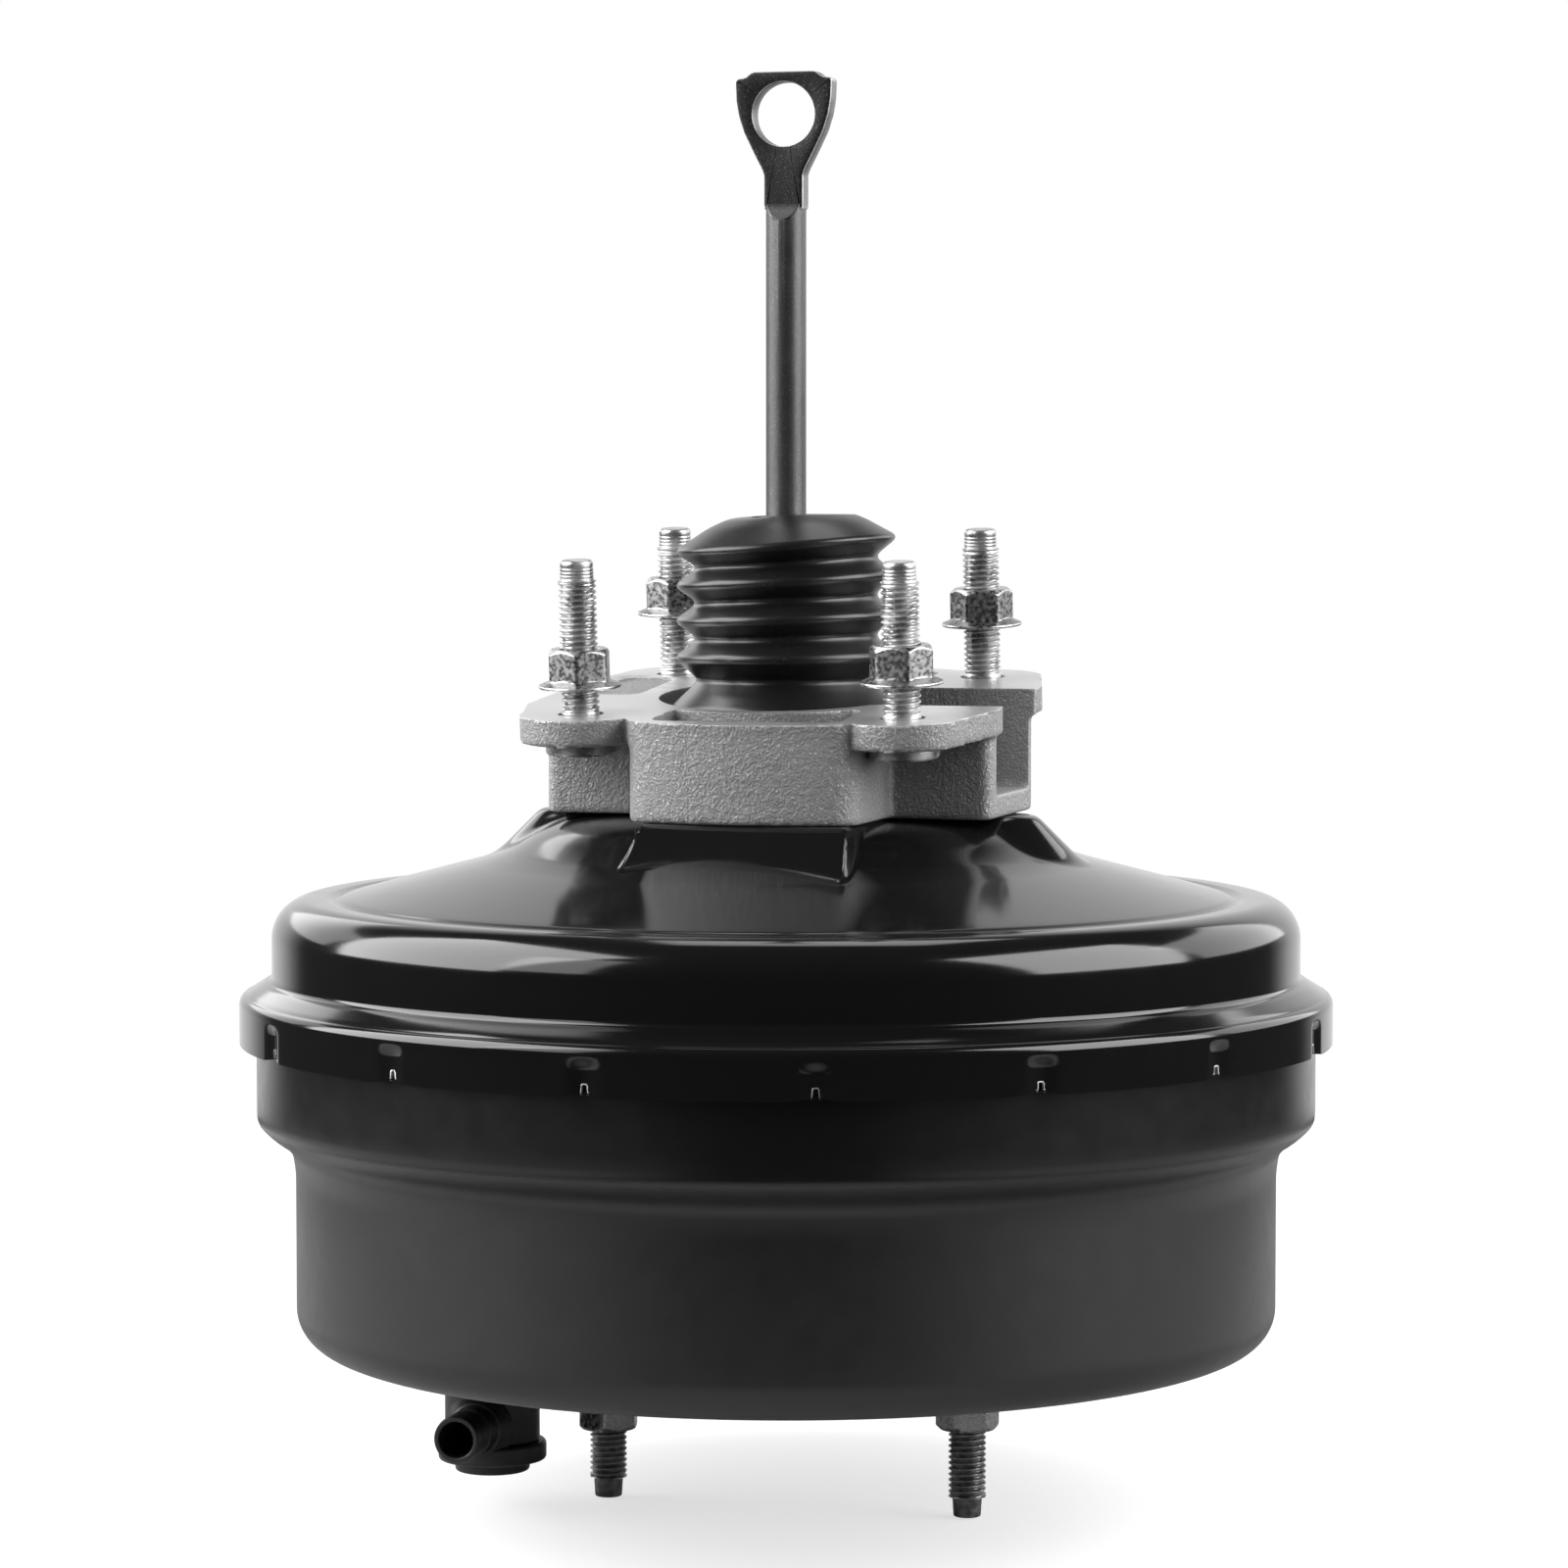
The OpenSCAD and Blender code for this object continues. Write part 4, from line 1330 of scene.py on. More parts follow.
@dataclass(frozen=True)
class Thread:
    """A rolled metric thread along Z."""

    major: float = 4.95 * MM
    minor: float = 4.2 * MM
    pitch: float = 1.5 * MM
    columns: int = 40

    def rows(self, low: float, high: float, phase: float = 0.0) -> np.ndarray:
        """Rows of points along the thread.

        Args:
            low, high: Heights of its ends.
            phase: Start angle, in turns.

        Returns:
            Points as rows by columns by 3.
        """
        count = max(8, int((high - low) / self.pitch * 9))
        heights = np.linspace(low, high, count)
        angles = np.arange(self.columns) * 2 * math.pi / self.columns
        turn = heights[:, None] / self.pitch - angles[None, :] / (2 * math.pi) + phase
        wave = np.abs((turn % 1.0) * 2 - 1)
        tooth = np.clip((wave - 0.16) / 0.66, 0, 1)
        ends = np.minimum((heights - low), (high - heights)) / (0.8 * self.pitch)
        depth = (self.major - self.minor) * np.clip(ends, 0, 1)[:, None]
        radius = self.major - depth * (1 - tooth)
        rows = np.empty((count, self.columns, 3))
        rows[:, :, 0] = radius * np.cos(angles)
        rows[:, :, 1] = radius * np.sin(angles)
        rows[:, :, 2] = heights[:, None]
        return rows


@dataclass(frozen=True)
class HexNut:
    """A hexagon nut with chamfered ends and, where it has one, a conical flange."""

    across_flats: float = 15 * MM
    height: float = 10 * MM
    bore: float = 4.6 * MM
    flange_r: float = 0.0
    columns: int = 144

    def section(self, angles: np.ndarray) -> np.ndarray:
        """Radius of the hexagon with slightly rounded corners.

        Args:
            angles: Angles around the nut.

        Returns:
            A radius for each angle.
        """
        flat = self.across_flats / 2
        turn = (angles + math.pi / 6) % (math.pi / 3) - math.pi / 6
        radius = flat / np.cos(turn)
        corner = flat / math.cos(math.pi / 6)
        return smooth_min(radius, np.full_like(radius, corner - 0.12 * MM), 0.5 * MM)

    def part(self, turn: float) -> Part:
        """Builds the nut standing on Z = 0.

        Args:
            turn: Angle of the hexagon, in radians.

        Returns:
            Points and faces.
        """
        angles = np.arange(self.columns) * 2 * math.pi / self.columns
        hexagon = self.section(angles - turn)
        corner = self.across_flats / 2 / math.cos(math.pi / 6)
        heights = np.concatenate([
            np.linspace(0, 0.3, 12, endpoint=False), np.linspace(0.3, 0.72, 6, endpoint=False),
            np.linspace(0.72, 1, 16),
        ]) * self.height
        rows = [np.full_like(angles, self.bore)]
        levels = [0.0]
        for z in heights:
            top = corner - 0.05 * MM - max(0.0, z - (self.height - 1.35 * MM)) * 1.05
            shape = smooth_min(hexagon, np.full_like(hexagon, top), 0.25 * MM)
            if self.flange_r:
                skirt = self.flange_r - max(0.0, z - 0.7 * MM) * 2.5
                skirt = min(skirt, self.flange_r - max(0.0, 0.3 * MM - z) * 0.6)
                if skirt > 0:
                    shape = smooth_max(shape, np.full_like(shape, skirt), 0.5 * MM)
            else:
                bottom = corner - 0.05 * MM - max(0.0, 0.9 * MM - z) * 1.05
                shape = smooth_min(shape, np.full_like(shape, bottom), 0.25 * MM)
            rows.append(shape)
            levels.append(z)
        rows.append(np.full_like(angles, self.bore + 0.7 * MM))
        levels.append(self.height)
        rows.append(np.full_like(angles, self.bore))
        levels.append(self.height - 0.7 * MM)
        radius = np.stack(rows)
        level = np.repeat(np.array(levels)[:, None], len(angles), 1)
        return tube_grid(np.stack([radius * np.cos(angles), radius * np.sin(angles), level], -1))


@dataclass
class SpacerFasteners(SubAssembly):
    """Four firewall studs with their flange nuts, and the nuts and studs in the spacer's pockets."""

    stud_length: float = 40 * MM
    dog_length: float = 5.8 * MM
    ear: float = 7 * MM
    turns: tuple[float, ...] = (12.0, 27.0, 46.0, 63.0)

    def stud(self, phase: float) -> list[Part]:
        """One stud in the frame of the face, from its head to its plain end.

        Args:
            phase: Start angle of the thread, in turns.

        Returns:
            Its parts.
        """
        thread = Thread().rows(0.6 * MM, self.stud_length - self.dog_length + 0.4 * MM, phase)
        head = rounded(
            [
                (0, -self.ear - 3.25 * MM), (8.9 * MM, -self.ear - 3.25 * MM),
                (9.3 * MM, -self.ear - 2.7 * MM), (9.3 * MM, -self.ear - 0.35 * MM),
                (8.9 * MM, -self.ear), (4.9 * MM, -self.ear), (4.9 * MM, 0.7 * MM),
            ],
            0.3 * MM,
        )
        rings = []
        for level in (1.0 * MM, 1.9 * MM, 2.8 * MM, 3.7 * MM):
            edge = 4.4 * MM - 0.03 * level
            rings += [(edge, level - 0.22 * MM), (edge - 0.13 * MM, level), (edge, level + 0.22 * MM)]
        dog = rounded(
            [(4.6 * MM, -0.6 * MM), (4.4 * MM, 0.2 * MM)] + rings + [
                (4.25 * MM, self.dog_length - 0.9 * MM), (3.85 * MM, self.dog_length - 0.25 * MM),
                (3.4 * MM, self.dog_length - 0.1 * MM), (0, self.dog_length - 0.35 * MM),
            ],
            0.3 * MM,
        )
        foot = [(0.2 * MM, -self.ear - 3.25 * MM)] + head[1:] + [(3.9 * MM, 0.75 * MM)]
        tip = [(3.9 * MM, -0.7 * MM)] + dog[:-1] + [(0.2 * MM, dog[-1][1])]
        return [
            turned(foot, 64), ring_grid(thread),
            moved(turned(tip, 48), Matrix.Translation((0, 0, self.stud_length - self.dog_length))),
        ]

    def build(self) -> None:
        """Builds all the spacer's fasteners."""
        studs, nuts = [], []
        for i, (sx, sy) in enumerate(STUD_SPOTS):
            place = face_matrix(sx * HALF_PITCH, sy * HALF_PITCH)
            studs += [moved(part, place) for part in self.stud(0.23 * i)]
            nut = HexNut(flange_r=10.75 * MM).part(math.radians(self.turns[i]))
            nuts.append(moved(nut, face_matrix(sx * HALF_PITCH, sy * HALF_PITCH, NUT_LIFTS[i])))
        self.add(
            "firewall_stud_set", studs, THREAD_ZINC, "housing", "zinc_plate", replaces=["firewall_studs"],
        )
        self.add("flange_nut_set", nuts, ZINC, "housing", "zinc_plate", replaces=["flange_nuts"])
        anchors, anchor_nuts = [], []
        for i, (x, y) in enumerate(ANCHOR_SPOTS):
            shift = Matrix.Translation((x * MM, y * MM, 0))
            shank = Thread(3.95 * MM, 3.35 * MM, 1.25 * MM, 32).rows(-22 * MM, -11.05 * MM, 0.3 * i)
            head = [
                (0.2 * MM, -35.4 * MM), (7.3 * MM, -35.4 * MM), (7.3 * MM, -32.6 * MM),
                (4.1 * MM, -32.6 * MM), (4.1 * MM, -21.9 * MM),
            ]
            anchors += [moved(ring_grid(shank), shift), moved(turned(rounded(head, 0.3 * MM), 48), shift)]
            nut = HexNut(13 * MM, 6.5 * MM, 3.4 * MM).part(math.radians(11 + 23 * i))
            anchor_nuts.append(moved(nut, shift @ Matrix.Translation((0, 0, -22 * MM))))
        self.add("bracket_stud_set", anchors, ZINC, "housing", "zinc_plate", replaces=["bracket_studs"])
        self.add("bracket_nut_set", anchor_nuts, ZINC, "housing", "zinc_plate", replaces=["bracket_nuts"])


@dataclass
class MasterCylinderFasteners(SubAssembly):
    """Two master cylinder studs with their nuts below the pad."""

    spot: float = 49.6 * MM
    tip: float = -216 * MM
    dog_length: float = 5.8 * MM
    nut_tops: tuple[float, float] = (-186.6 * MM, -191.5 * MM)
    nut_height: float = 6 * MM

    def build(self) -> None:
        """Builds both studs and nuts."""
        studs, nuts = [], []
        for i, side in enumerate((1, -1)):
            shift = Matrix.Translation((side * self.spot, 0, 0))
            top = self.nut_tops[i]
            low = self.tip + self.dog_length
            thread = Thread().rows(low - 0.4 * MM, top - self.nut_height + 0.5 * MM, 0.4 * i)
            collar = [
                (4.4 * MM, top - self.nut_height), (4.5 * MM, top), (5.2 * MM, top + 0.4 * MM),
                (5.2 * MM, -180.3 * MM), (8.9 * MM, -180.3 * MM), (8.9 * MM, -177.2 * MM),
                (0.2 * MM, -177.2 * MM),
            ]
            dog = [
                (0.2 * MM, self.tip + 0.35 * MM), (3.1 * MM, self.tip + 0.1 * MM),
                (3.6 * MM, self.tip + 0.3 * MM), (3.9 * MM, low - 0.6 * MM), (4.5 * MM, low + 0.5 * MM),
                (3.9 * MM, low + 0.7 * MM),
            ]
            studs += [moved(ring_grid(thread), shift), moved(turned(rounded(collar, 0.3 * MM), 56), shift)]
            studs.append(moved(turned(rounded(dog, 0.3 * MM), 48), shift))
            nut = HexNut(15 * MM, self.nut_height).part(math.radians(8 - 20 * i))
            flip = Matrix.Rotation(math.pi, 4, "X")
            nuts.append(moved(nut, shift @ Matrix.Translation((0, 0, top)) @ flip))
        self.add(
            "master_cylinder_stud_set", studs, ZINC_DULL, "housing", "zinc_plate", replaces=["pad_studs"],
        )
        self.add("master_cylinder_nut_set", nuts, ZINC, "housing", "zinc_plate", replaces=["pad_nuts"])


# Boot


@dataclass
class BellowsBoot(SubAssembly):
    """Rubber bellows that lean a little, as they settle over the neck."""

    ridges: tuple[float, ...] = (39.7 * MM, 30.3 * MM, 20.4 * MM, 10.2 * MM)
    valleys: tuple[float, ...] = (35.0 * MM, 25.3 * MM, 15.3 * MM, 4.2 * MM)
    ridge_r: float = 29.2 * MM
    valley_r: float = 23.7 * MM
    lean: float = math.radians(4.2)
    lean_towards: float = math.radians(20.0)
    anchor_z: float = -24 * MM
    stroke: float = 32 * MM
    wall: float = 1.5 * MM
    columns: int = 144

    def outline(self) -> list[Point]:
        """Outer profile from the top hole to the foot.

        Returns:
            Pairs of radius and height.
        """
        corners = [(9.2 * MM, 47.4 * MM), (15.0 * MM, 47.4 * MM), (20.5 * MM, 45.2 * MM)]
        for ridge, valley in zip(self.ridges, self.valleys):
            corners += [(self.ridge_r + 0.5 * MM, ridge), (self.valley_r - 0.4 * MM, valley)]
        corners += [
            (25.2 * MM, 1.8 * MM), (30.9 * MM, -3.6 * MM), (31.3 * MM, -9.5 * MM), (31.3 * MM, -23.9 * MM),
        ]
        return rounded(corners, 2.3 * MM, 8)

    def build(self) -> None:
        """Builds the boot."""
        outer = np.array(self.outline())
        step = np.gradient(outer, axis=0)
        step /= np.maximum(np.hypot(step[:, 0], step[:, 1]), 1e-9)[:, None]
        inner = outer + self.wall * np.stack([step[:, 1], -step[:, 0]], -1)
        inner[:, 0] = np.clip(inner[:, 0], 9.2 * MM, None)
        inner[:, 1] = np.clip(inner[:, 1], self.anchor_z + 0.1 * MM, 45.9 * MM)
        skin = [tuple(p) for p in np.concatenate([outer, inner[::-1]])]
        points, faces = turned(skin, self.columns, closed=True)
        share = np.clip((points[:, 2] - 4 * MM) / (36 * MM), 0, 1)
        towards = points[:, 0] * math.cos(self.lean_towards) + points[:, 1] * math.sin(self.lean_towards)
        points[:, 2] += share * towards * math.tan(self.lean)
        ripple = 0.12 * MM * np.sin(3 * np.arctan2(points[:, 1], points[:, 0]) + points[:, 2] / (4 * MM))
        points[:, 2] += ripple * share
        points[:, 2] = np.minimum(points[:, 2], 47.5 * MM)
        boot = self.add(
            "bellows_boot", [(points, faces)], BOOT, "housing", "boot_rubber", Shading.SOFT, ["boot"],
        )
        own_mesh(boot)


# Pedal rod


@dataclass
class PedalRod(SubAssembly):
    """Pedal rod: ball, collar, shank with its flattened end, and forged flat eye."""

    eye_z: float = 152 * MM
    eye_r: float = 8.4 * MM
    plate: float = 5.8 * MM
    shank_r: float = 5.3 * MM
    columns: int = 240
    flat_low: float = -27.6 * MM
    flat_high: float = -22.0 * MM

    def outline(self) -> np.ndarray:
        """Outline of the eye about its hole's centre, seen from the front.

        Returns:
            Evenly spaced points, counter-clockwise.
        """
        right = [
            (5.2, -24.8), (5.35, -24.0), (5.35, -15.7), (5.9, -14.3), (8.5, -9.3), (10.9, -4.4), (12.3, 0.0),
            (12.95, 4.0), (13.15, 9.3), (10.5, 9.55), (8.6, 11.1),
        ]
        corners = [(x * MM, z * MM) for x, z in right] + [(-x * MM, z * MM) for x, z in reversed(right)]
        line = np.array(rounded(corners, 0.7 * MM, 4, True))
        line = np.concatenate([line, line[:1]])
        gone = np.concatenate([[0], np.cumsum(np.hypot(*np.diff(line, axis=0).T))])
        wanted = np.linspace(0, gone[-1], self.columns, endpoint=False)
        return np.stack([np.interp(wanted, gone, line[:, 0]), np.interp(wanted, gone, line[:, 1])], -1)

    def eye(self) -> Part:
        """The flat eye with eased edges.

        Returns:
            Points and faces.
        """
        half = self.plate / 2 - 0.02 * MM
        edge = self.outline()
        step = np.roll(edge, -1, axis=0) - np.roll(edge, 1, axis=0)
        inward = np.stack([-step[:, 1], step[:, 0]], -1) / np.hypot(step[:, 0], step[:, 1])[:, None]
        turn = np.arctan2(edge[:, 1], edge[:, 0])
        hole = np.stack([np.cos(turn), np.sin(turn)], -1)
        front = [
            (hole * self.eye_r, half - 0.35 * MM), (hole * (self.eye_r + 0.1 * MM), half - 0.1 * MM),
            (hole * (self.eye_r + 0.35 * MM), half), (edge + inward * 1.1 * MM, half),
            (edge + inward * 0.45 * MM, half), (edge + inward * 0.13 * MM, half - 0.12 * MM),
            (edge, half - 0.42 * MM),
        ]
        rows = front + [(flat, -depth) for flat, depth in reversed(front)]
        points = np.array([[(x, depth, z + self.eye_z) for x, z in flat] for flat, depth in rows])
        return tube_grid(points)

    def shank(self) -> Part:
        """The rod from its ball to the eye, milled flat on both sides where the eye begins.

        Returns:
            Points and faces.
        """
        r = self.shank_r
        low, high = self.eye_z + self.flat_low, self.eye_z + self.flat_high
        profile = [
            (0.2 * MM, -15.2 * MM), (3.2 * MM, -14.2 * MM), (4.9 * MM, -12.0 * MM), (5.25 * MM, -10 * MM),
            (4.6 * MM, -7.6 * MM), (3.4 * MM, -6.0 * MM), (3.4 * MM, 12 * MM), (r, 15 * MM), (r, 17.75 * MM),
            (12.8 * MM, 17.75 * MM), (12.8 * MM, 19.25 * MM), (r, 19.3 * MM), (r, 60 * MM), (r, 90 * MM),
            (r, low),
        ]
        line = rounded(profile, 0.5 * MM, 4) + line_points((r, low), (r, high + 1.5 * MM), 26)
        points, faces = turned(line, 144)
        share = np.clip((points[:, 2] - low) / (high - low), 0, 1)
        flat = self.plate / 2 - 0.3 * MM
        reach = r - (r - flat) * (1 - (1 - share) ** 1.6)
        points[:, 1] = np.clip(points[:, 1], -reach, reach)
        return points, faces

    def build(self) -> None:
        """Builds the rod's two pieces."""
        self.add(
            "pedal_rod_shank", [self.shank()], ROD, "pedal_rod", "rod_steel", Shading.CREASED, ["input_rod"],
        )
        self.add("pedal_rod_eye", [self.eye()], EYE, "pedal_rod", "rod_steel", Shading.CREASED)


# Check valve


@dataclass
class CheckValve(SubAssembly):
    """Plastic check valve: body with hose nipple, ribs and snap cap."""

    x: float = -75.2 * MM
    y: float = -21 * MM
    body_r: float = 12.6 * MM
    hose_z: float = -193.2 * MM
    rib_count: int = 4
    rib_start: float = -71.0
    rib_step: float = 7.5
    rib_rows: tuple[tuple[float, ...], ...] = (
        (0.4 * MM, 0.45 * MM, -196.4 * MM, -191.2 * MM),
        (0.02 * MM, 0.3 * MM, -196.1 * MM, -191.5 * MM),
    )

    def body(self) -> list[Part]:
        """The valve's body around its axis.

        Returns:
            Its parts.
        """
        profile = [
            (5.6 * MM, -177 * MM), (5.6 * MM, -163.5 * MM), (7.5 * MM, -162.1 * MM), (9.4 * MM, -164.6 * MM),
            (8.6 * MM, -165.3 * MM), (8.6 * MM, -173.6 * MM), (11.4 * MM, -174.1 * MM),
            (self.body_r, -175.3 * MM), (self.body_r, -188 * MM), (self.body_r, -197.9 * MM),
            (10.3 * MM, -197.9 * MM), (10.3 * MM, -178 * MM),
        ]
        shift = Matrix.Translation((self.x, self.y, 0))
        parts = [moved(turned(rounded(profile, 0.5 * MM, 4, True), 96, True), shift)]
        for i in range(self.rib_count):
            angle = math.radians(self.rib_start + self.rib_step * i)
            rib = np.array([
                [
                    (self.body_r - sink, side * half, z)
                    for side, z in ((-1, low), (1, low), (1, high), (-1, high))
                ]
                for sink, half, low, high in self.rib_rows
            ])
            parts.append(moved(ring_grid(rib), shift @ Matrix.Rotation(angle, 4, "Z")))
        return parts

    def nipple(self) -> Part:
        """The hose nipple with its barbs and open bore, pointing to the front.

        Returns:
            Points and faces.
        """
        corners = [
            (4.7, 6.0), (9.6, 10.6), (8.2, 12.2), (7.4, 13.4), (7.25, 14.0), (6.45, 14.3), (6.4, 18.9),
            (5.5, 19.1), (6.4, 20.6), (5.6, 22.4), (6.4, 24.0), (5.6, 25.8), (6.35, 27.2), (6.1, 28.7),
            (5.9, 28.95), (5.0, 28.95), (4.7, 28.7),
        ]
        part = turned(rounded([(r * MM, z * MM) for r, z in corners], 0.35 * MM, 4, True), 80, True)
        place = Matrix.Translation((self.x, self.y, self.hose_z)) @ Matrix.Rotation(math.radians(90), 4, "X")
        return moved(part, place)

    def cap(self) -> Part:
        """The snap cap at the valve's lower end.

        Returns:
            Points and faces.
        """
        corners = [
            (0.2, -206.2), (9.4, -206.2), (9.9, -205.7), (9.9, -203.2), (13.8, -203.2), (14.35, -202.6),
            (14.35, -198.7), (13.8, -198.05), (10.2, -198.05), (10.2, -196.1), (8.7, -196.1), (8.7, -199.9),
            (0.2, -199.9),
        ]
        part = turned(rounded([(r * MM, z * MM) for r, z in corners], 0.5 * MM, 4), 96)
        return moved(part, Matrix.Translation((self.x, self.y, 0)))

    def build(self) -> None:
        """Builds the body, the nipple and the cap."""
        self.add(
            "check_valve_body", self.body() + [self.nipple()], NYLON, "check_valve", "black_plastic",
            Shading.CREASED, ["valve_body"],
        )
        self.add(
            "check_valve_cap", [self.cap()], NYLON, "check_valve", "black_plastic",
            Shading.CREASED, ["valve_cap"],
        )


# Solids that keep their CAD shape


@dataclass
class Diaphragms(SubAssembly):
    """Hidden diaphragms, copied in their CAD shape."""

    folds: tuple[tuple[str, float, float], ...] = (
        ("rear_diaphragm", -80.5 * MM, -67 * MM),
        ("front_diaphragm", -84 * MM, -107 * MM),
    )

    def build(self) -> None:
        """Copies each diaphragm to stand in for its CAD solid."""
        for node, bead_z, plate_z in self.folds:
            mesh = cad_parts[node].data.copy()
            mesh.materials.clear()
            skin = self.add(f"{node}_skin", mesh, SEAL, "", "seal_rubber", Shading.SOFT, [node])
            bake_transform(skin)


@dataclass
class Springs(SubAssembly):
    """Hidden coil springs in their CAD shape, each riding on its body."""

    fits: tuple[tuple[str, str, str, float, float], ...] = (
        ("return_spring", "piston", "piston_stroke", -117.6 * MM, 32 * MM),
        ("rod_spring", "pedal_rod", "plunger_travel", 17.7 * MM, 2.2 * MM),
        ("poppet_spring", "poppet_valve", "plunger_travel", -2.7 * MM, 1.7 * MM),
        ("valve_spring", "check_valve", "disc_lift", -200 * MM, 1.5 * MM),
    )

    def build(self) -> None:
        """Copies each spring and puts it on its body."""
        for node, body, joint, anchor_z, travel in self.fits:
            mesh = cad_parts[node].data.copy()
            mesh.materials.clear()
            coil = self.add(f"{node}_coil", mesh, SPRING, body, "spring_steel", Shading.SOFT, [node])
            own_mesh(coil)


@dataclass(frozen=True)
class InnerParts:
    """Finishes for the solids that are shown as they were built."""

    finishes: tuple[tuple[Finish, tuple[str, ...]], ...] = (
        (SHEET, (
            "housing_divider", "reinforcement_plate", "rear_plate", "front_plate", "stop_key",
            "poppet_retainer",
        )),
        (SEAL, (
            "divider_seal", "bearing_seal", "front_seal", "valve_grommet", "reaction_disc", "poppet",
            "valve_disc",
        )),
        (SPRING, ("rear_plate_clip", "front_plate_clip", "rod_retainer")),
        (TURNED, ("output_rod", "valve_plunger", "reaction_pin")),
        (RESIN, ("power_piston",)),
        (FELT, ("air_filter",)),
        (FOAM, ("air_silencer",)),
    )

    def dress(self) -> None:
        """Gives each solid its finish."""
        for finish, nodes in self.finishes:
            for node in nodes:
                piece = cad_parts[node]
                for slot in piece.material_slots:
                    slot.material = finish.material()
                LOG.info("%s: CAD solid in %s", node, finish.name)


# Studio


@dataclass(frozen=True)
class Softbox:
    """A soft panel light that looks at the object."""

    name: str
    azimuth: float
    elevation: float
    wide: float
    tall: float
    radiance: float
    distance: float = 1.5
    aim_z: float = -0.07

    def place(self, camera_azimuth: float) -> None:
        """Adds the light.

        Args:
            camera_azimuth: The camera's own azimuth, from which the light's is counted, in degrees.
        """
        a = math.radians(self.azimuth + camera_azimuth)
        e = math.radians(self.elevation)
        towards = Vector((math.sin(a) * math.cos(e), -math.cos(a) * math.cos(e), math.sin(e)))
        lamp = bpy.data.lights.new(self.name, "AREA")
        lamp.shape = "RECTANGLE"
        lamp.size = 2 * self.distance * math.tan(math.radians(self.wide / 2))
        lamp.size_y = 2 * self.distance * math.tan(math.radians(self.tall / 2))
        lamp.energy = self.radiance * math.pi * lamp.size * lamp.size_y
        holder = bpy.data.objects.new(self.name, lamp)
        holder.location = towards * self.distance + Vector((0, 0, self.aim_z))
        holder.rotation_mode = "QUATERNION"
        holder.rotation_quaternion = towards.to_track_quat("Z", "Y")
        holder.visible_camera = False
        bpy.context.scene.collection.objects.link(holder)


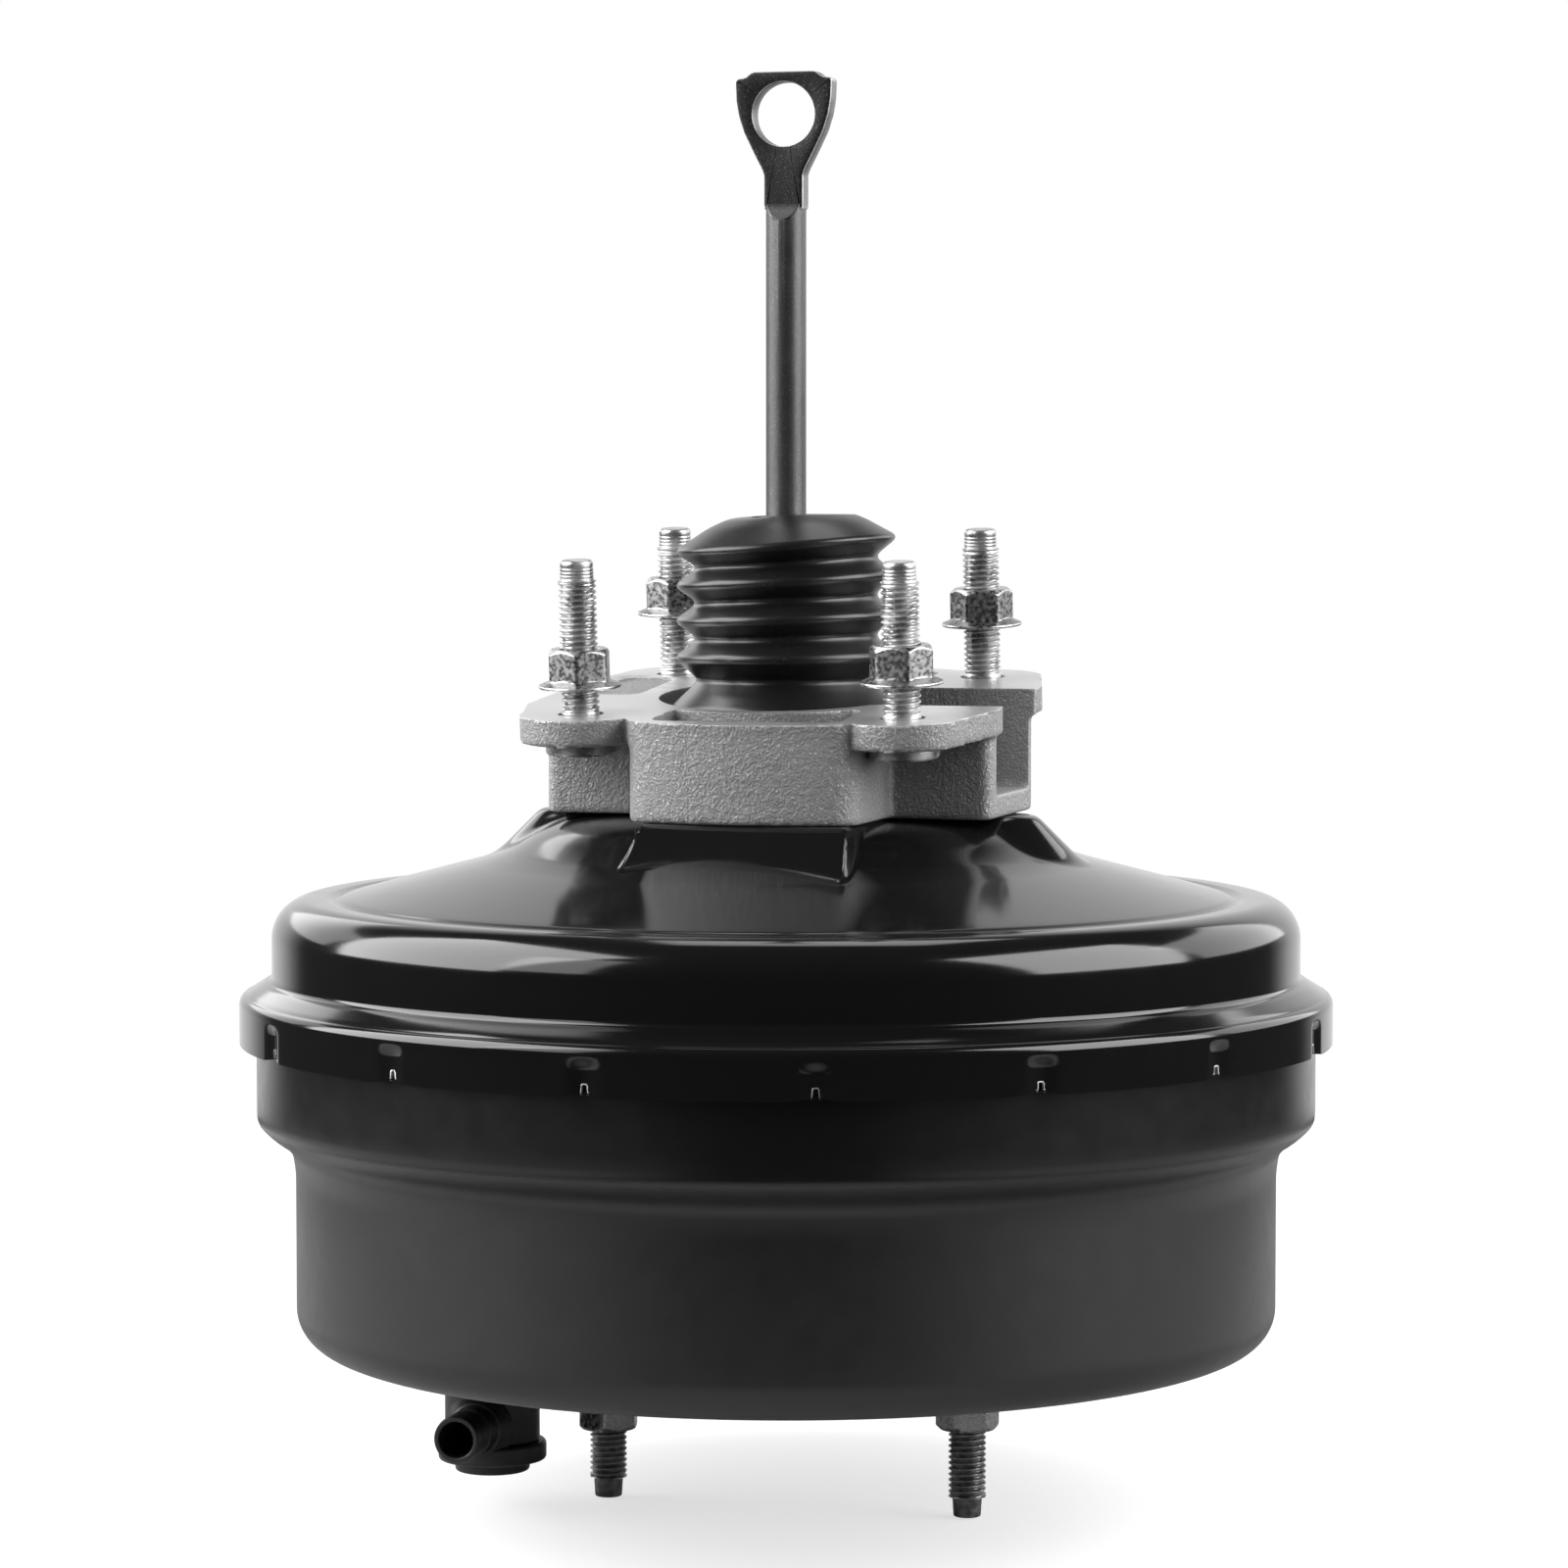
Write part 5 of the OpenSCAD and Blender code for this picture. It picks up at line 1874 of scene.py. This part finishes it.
@dataclass(frozen=True)
class Studio:
    """Floor, backdrop light, softboxes and camera."""

    camera_place: tuple[float, float, float] = (0.37125, -1.29548, 0.05591)
    camera_azimuth: float = 16.014
    camera_pitch: float = -3.376
    focal_pixels: float = 5220.8
    picture_pixels: float = 1600.0
    sensor_width: float = 36.0
    floor_z: float = -216.3 * MM
    floor_r: float = 0.85
    floor_base: float = 0.4
    floor_sides: int = 96
    floor_light: float = 1.05
    beside_range: tuple[float, float] = (0.12, 0.3)
    inner_range: tuple[float, float] = (0.16, 0.42)
    outer_range: tuple[float, float] = (0.6, 0.8)
    rear_range: tuple[float, float] = (0.68, 0.9)
    rear_light: float = 0.95
    room_light: float = 0.05
    softboxes: tuple[Softbox, ...] = (
        Softbox("left softbox", -88.0, 33.0, 54.0, 56.0, 7.2),
        Softbox("left softbox edge", -52.0, 26.0, 20.0, 34.0, 3.2, 1.45),
        Softbox("left rear softbox", -140.0, 21.0, 38.0, 20.0, 1.7),
        Softbox("right softbox", 74.0, 28.0, 44.0, 48.0, 6.8),
        Softbox("right rear softbox", 122.0, 21.0, 44.0, 30.0, 2.4),
        Softbox("top rear softbox", 174.0, 64.0, 24.0, 22.0, 2.6),
    )

    def camera(self) -> None:
        """Adds the camera at the photograph's place."""
        data = bpy.data.cameras.new("camera")
        data.sensor_width = self.sensor_width
        data.lens = self.focal_pixels / self.picture_pixels * data.sensor_width
        data.clip_start, data.clip_end = 0.05, 50.0
        holder = bpy.data.objects.new("camera", data)
        yaw, pitch = math.radians(self.camera_azimuth), math.radians(self.camera_pitch)
        forward = Vector((-math.sin(yaw) * math.cos(pitch), math.cos(yaw) * math.cos(pitch), math.sin(pitch)))
        right = Vector((math.cos(yaw), math.sin(yaw), 0.0))
        turn = Matrix((right, right.cross(forward), -forward)).transposed().to_4x4()
        holder.matrix_world = Matrix.Translation(self.camera_place) @ turn
        bpy.context.scene.collection.objects.link(holder)
        bpy.context.scene.camera = holder

    def floor(self) -> None:
        """Adds a small round floor, white to the camera but for the object's shadow."""
        steps = [i * 2 * math.pi / self.floor_sides for i in range(self.floor_sides)]
        points = [(self.floor_r * math.cos(a), self.floor_r * math.sin(a), 0) for a in steps]
        mesh = bpy.data.meshes.new("floor")
        mesh.from_pydata(points, [], [tuple(range(self.floor_sides))])
        material = bpy.data.materials.new("pale floor")
        material.use_nodes = True
        tree = material.node_tree
        shader = tree.nodes["Principled BSDF"]
        place = object_place(tree)
        away = add_node(tree, "ShaderNodeVectorMath", set_operation="LENGTH", i0=place).outputs["Value"]
        yaw = math.radians(self.camera_azimuth)
        across = along_node(tree, place, (math.cos(yaw), math.sin(yaw), 0.0))
        beside = ramp_node(tree, math_node(tree, "ABSOLUTE", across), *self.beside_range)
        inner = math_node(tree, "SUBTRACT", 1.0, ramp_node(tree, away, *self.inner_range))
        outer = math_node(tree, "SUBTRACT", 1.0, ramp_node(tree, away, *self.outer_range))
        near = math_node(tree, "MAXIMUM", inner, math_node(tree, "MULTIPLY", beside, outer))
        tone = mix_colours(tree, near, grey(0.03), grey(self.floor_base))
        tree.links.new(tone, shader.inputs["Base Color"])
        shader.inputs["Roughness"].default_value = 0.9
        shader.inputs["Specular IOR Level"].default_value = 0.0
        shader.inputs["Emission Color"].default_value = grey(1.0)
        path = add_node(tree, "ShaderNodeLightPath")
        lit = math_node(tree, "MULTIPLY", near, self.floor_base)
        share = math_node(tree, "SUBTRACT", self.floor_light, lit)
        glow = math_node(tree, "MULTIPLY", path.outputs["Is Camera Ray"], share)
        tree.links.new(glow, shader.inputs["Emission Strength"])
        floor = bpy.data.objects.new("floor", mesh)
        floor.location = (0, 0, self.floor_z)
        mesh.materials.append(material)
        bpy.context.scene.collection.objects.link(floor)

    def world(self) -> None:
        """White for the camera, and a dim room with a pale rear for everything else."""
        world = bpy.data.worlds.new("studio")
        bpy.context.scene.world = world
        world.use_nodes = True
        tree = world.node_tree
        background = tree.nodes["Background"]
        place = add_node(tree, "ShaderNodeTexCoord").outputs["Generated"]
        away = math.radians(self.camera_azimuth + 180)
        rear = (math.sin(away), -math.cos(away), 0.0)
        pale = ramp_node(tree, along_node(tree, place, rear), *self.rear_range)
        pale = math_node(tree, "MULTIPLY", pale, self.rear_light)
        room = math_node(tree, "ADD", pale, self.room_light)
        path = add_node(tree, "ShaderNodeLightPath")
        seen = add_node(tree, "ShaderNodeMix", i0=path.outputs["Is Camera Ray"], i2=room, i3=1.0)
        tree.links.new(seen.outputs[0], background.inputs["Strength"])
        background.inputs["Color"].default_value = grey(1.0)

    def build(self) -> None:
        """Builds the whole studio."""
        self.camera()
        self.floor()
        self.world()
        for box in self.softboxes:
            box.place(self.camera_azimuth)
        bpy.context.scene.view_settings.view_transform = "Standard"


def main() -> None:
    """Builds the booster's looks around the CAD frame."""
    logging.basicConfig(level=logging.INFO, format="%(message)s")
    Studio().build()
    assemblies: list[SubAssembly] = [
        RearShell(), FrontShell(), Spacer(), SpacerFasteners(), MasterCylinderFasteners(),
        BellowsBoot(), PedalRod(), CheckValve(), Diaphragms(), Springs(),
    ]
    for assembly in assemblies:
        assembly.build()
        LOG.info("%s: %d pieces", type(assembly).__name__, len(assembly.pieces))
    InnerParts().dress()


if __name__ == "__main__":
    main()
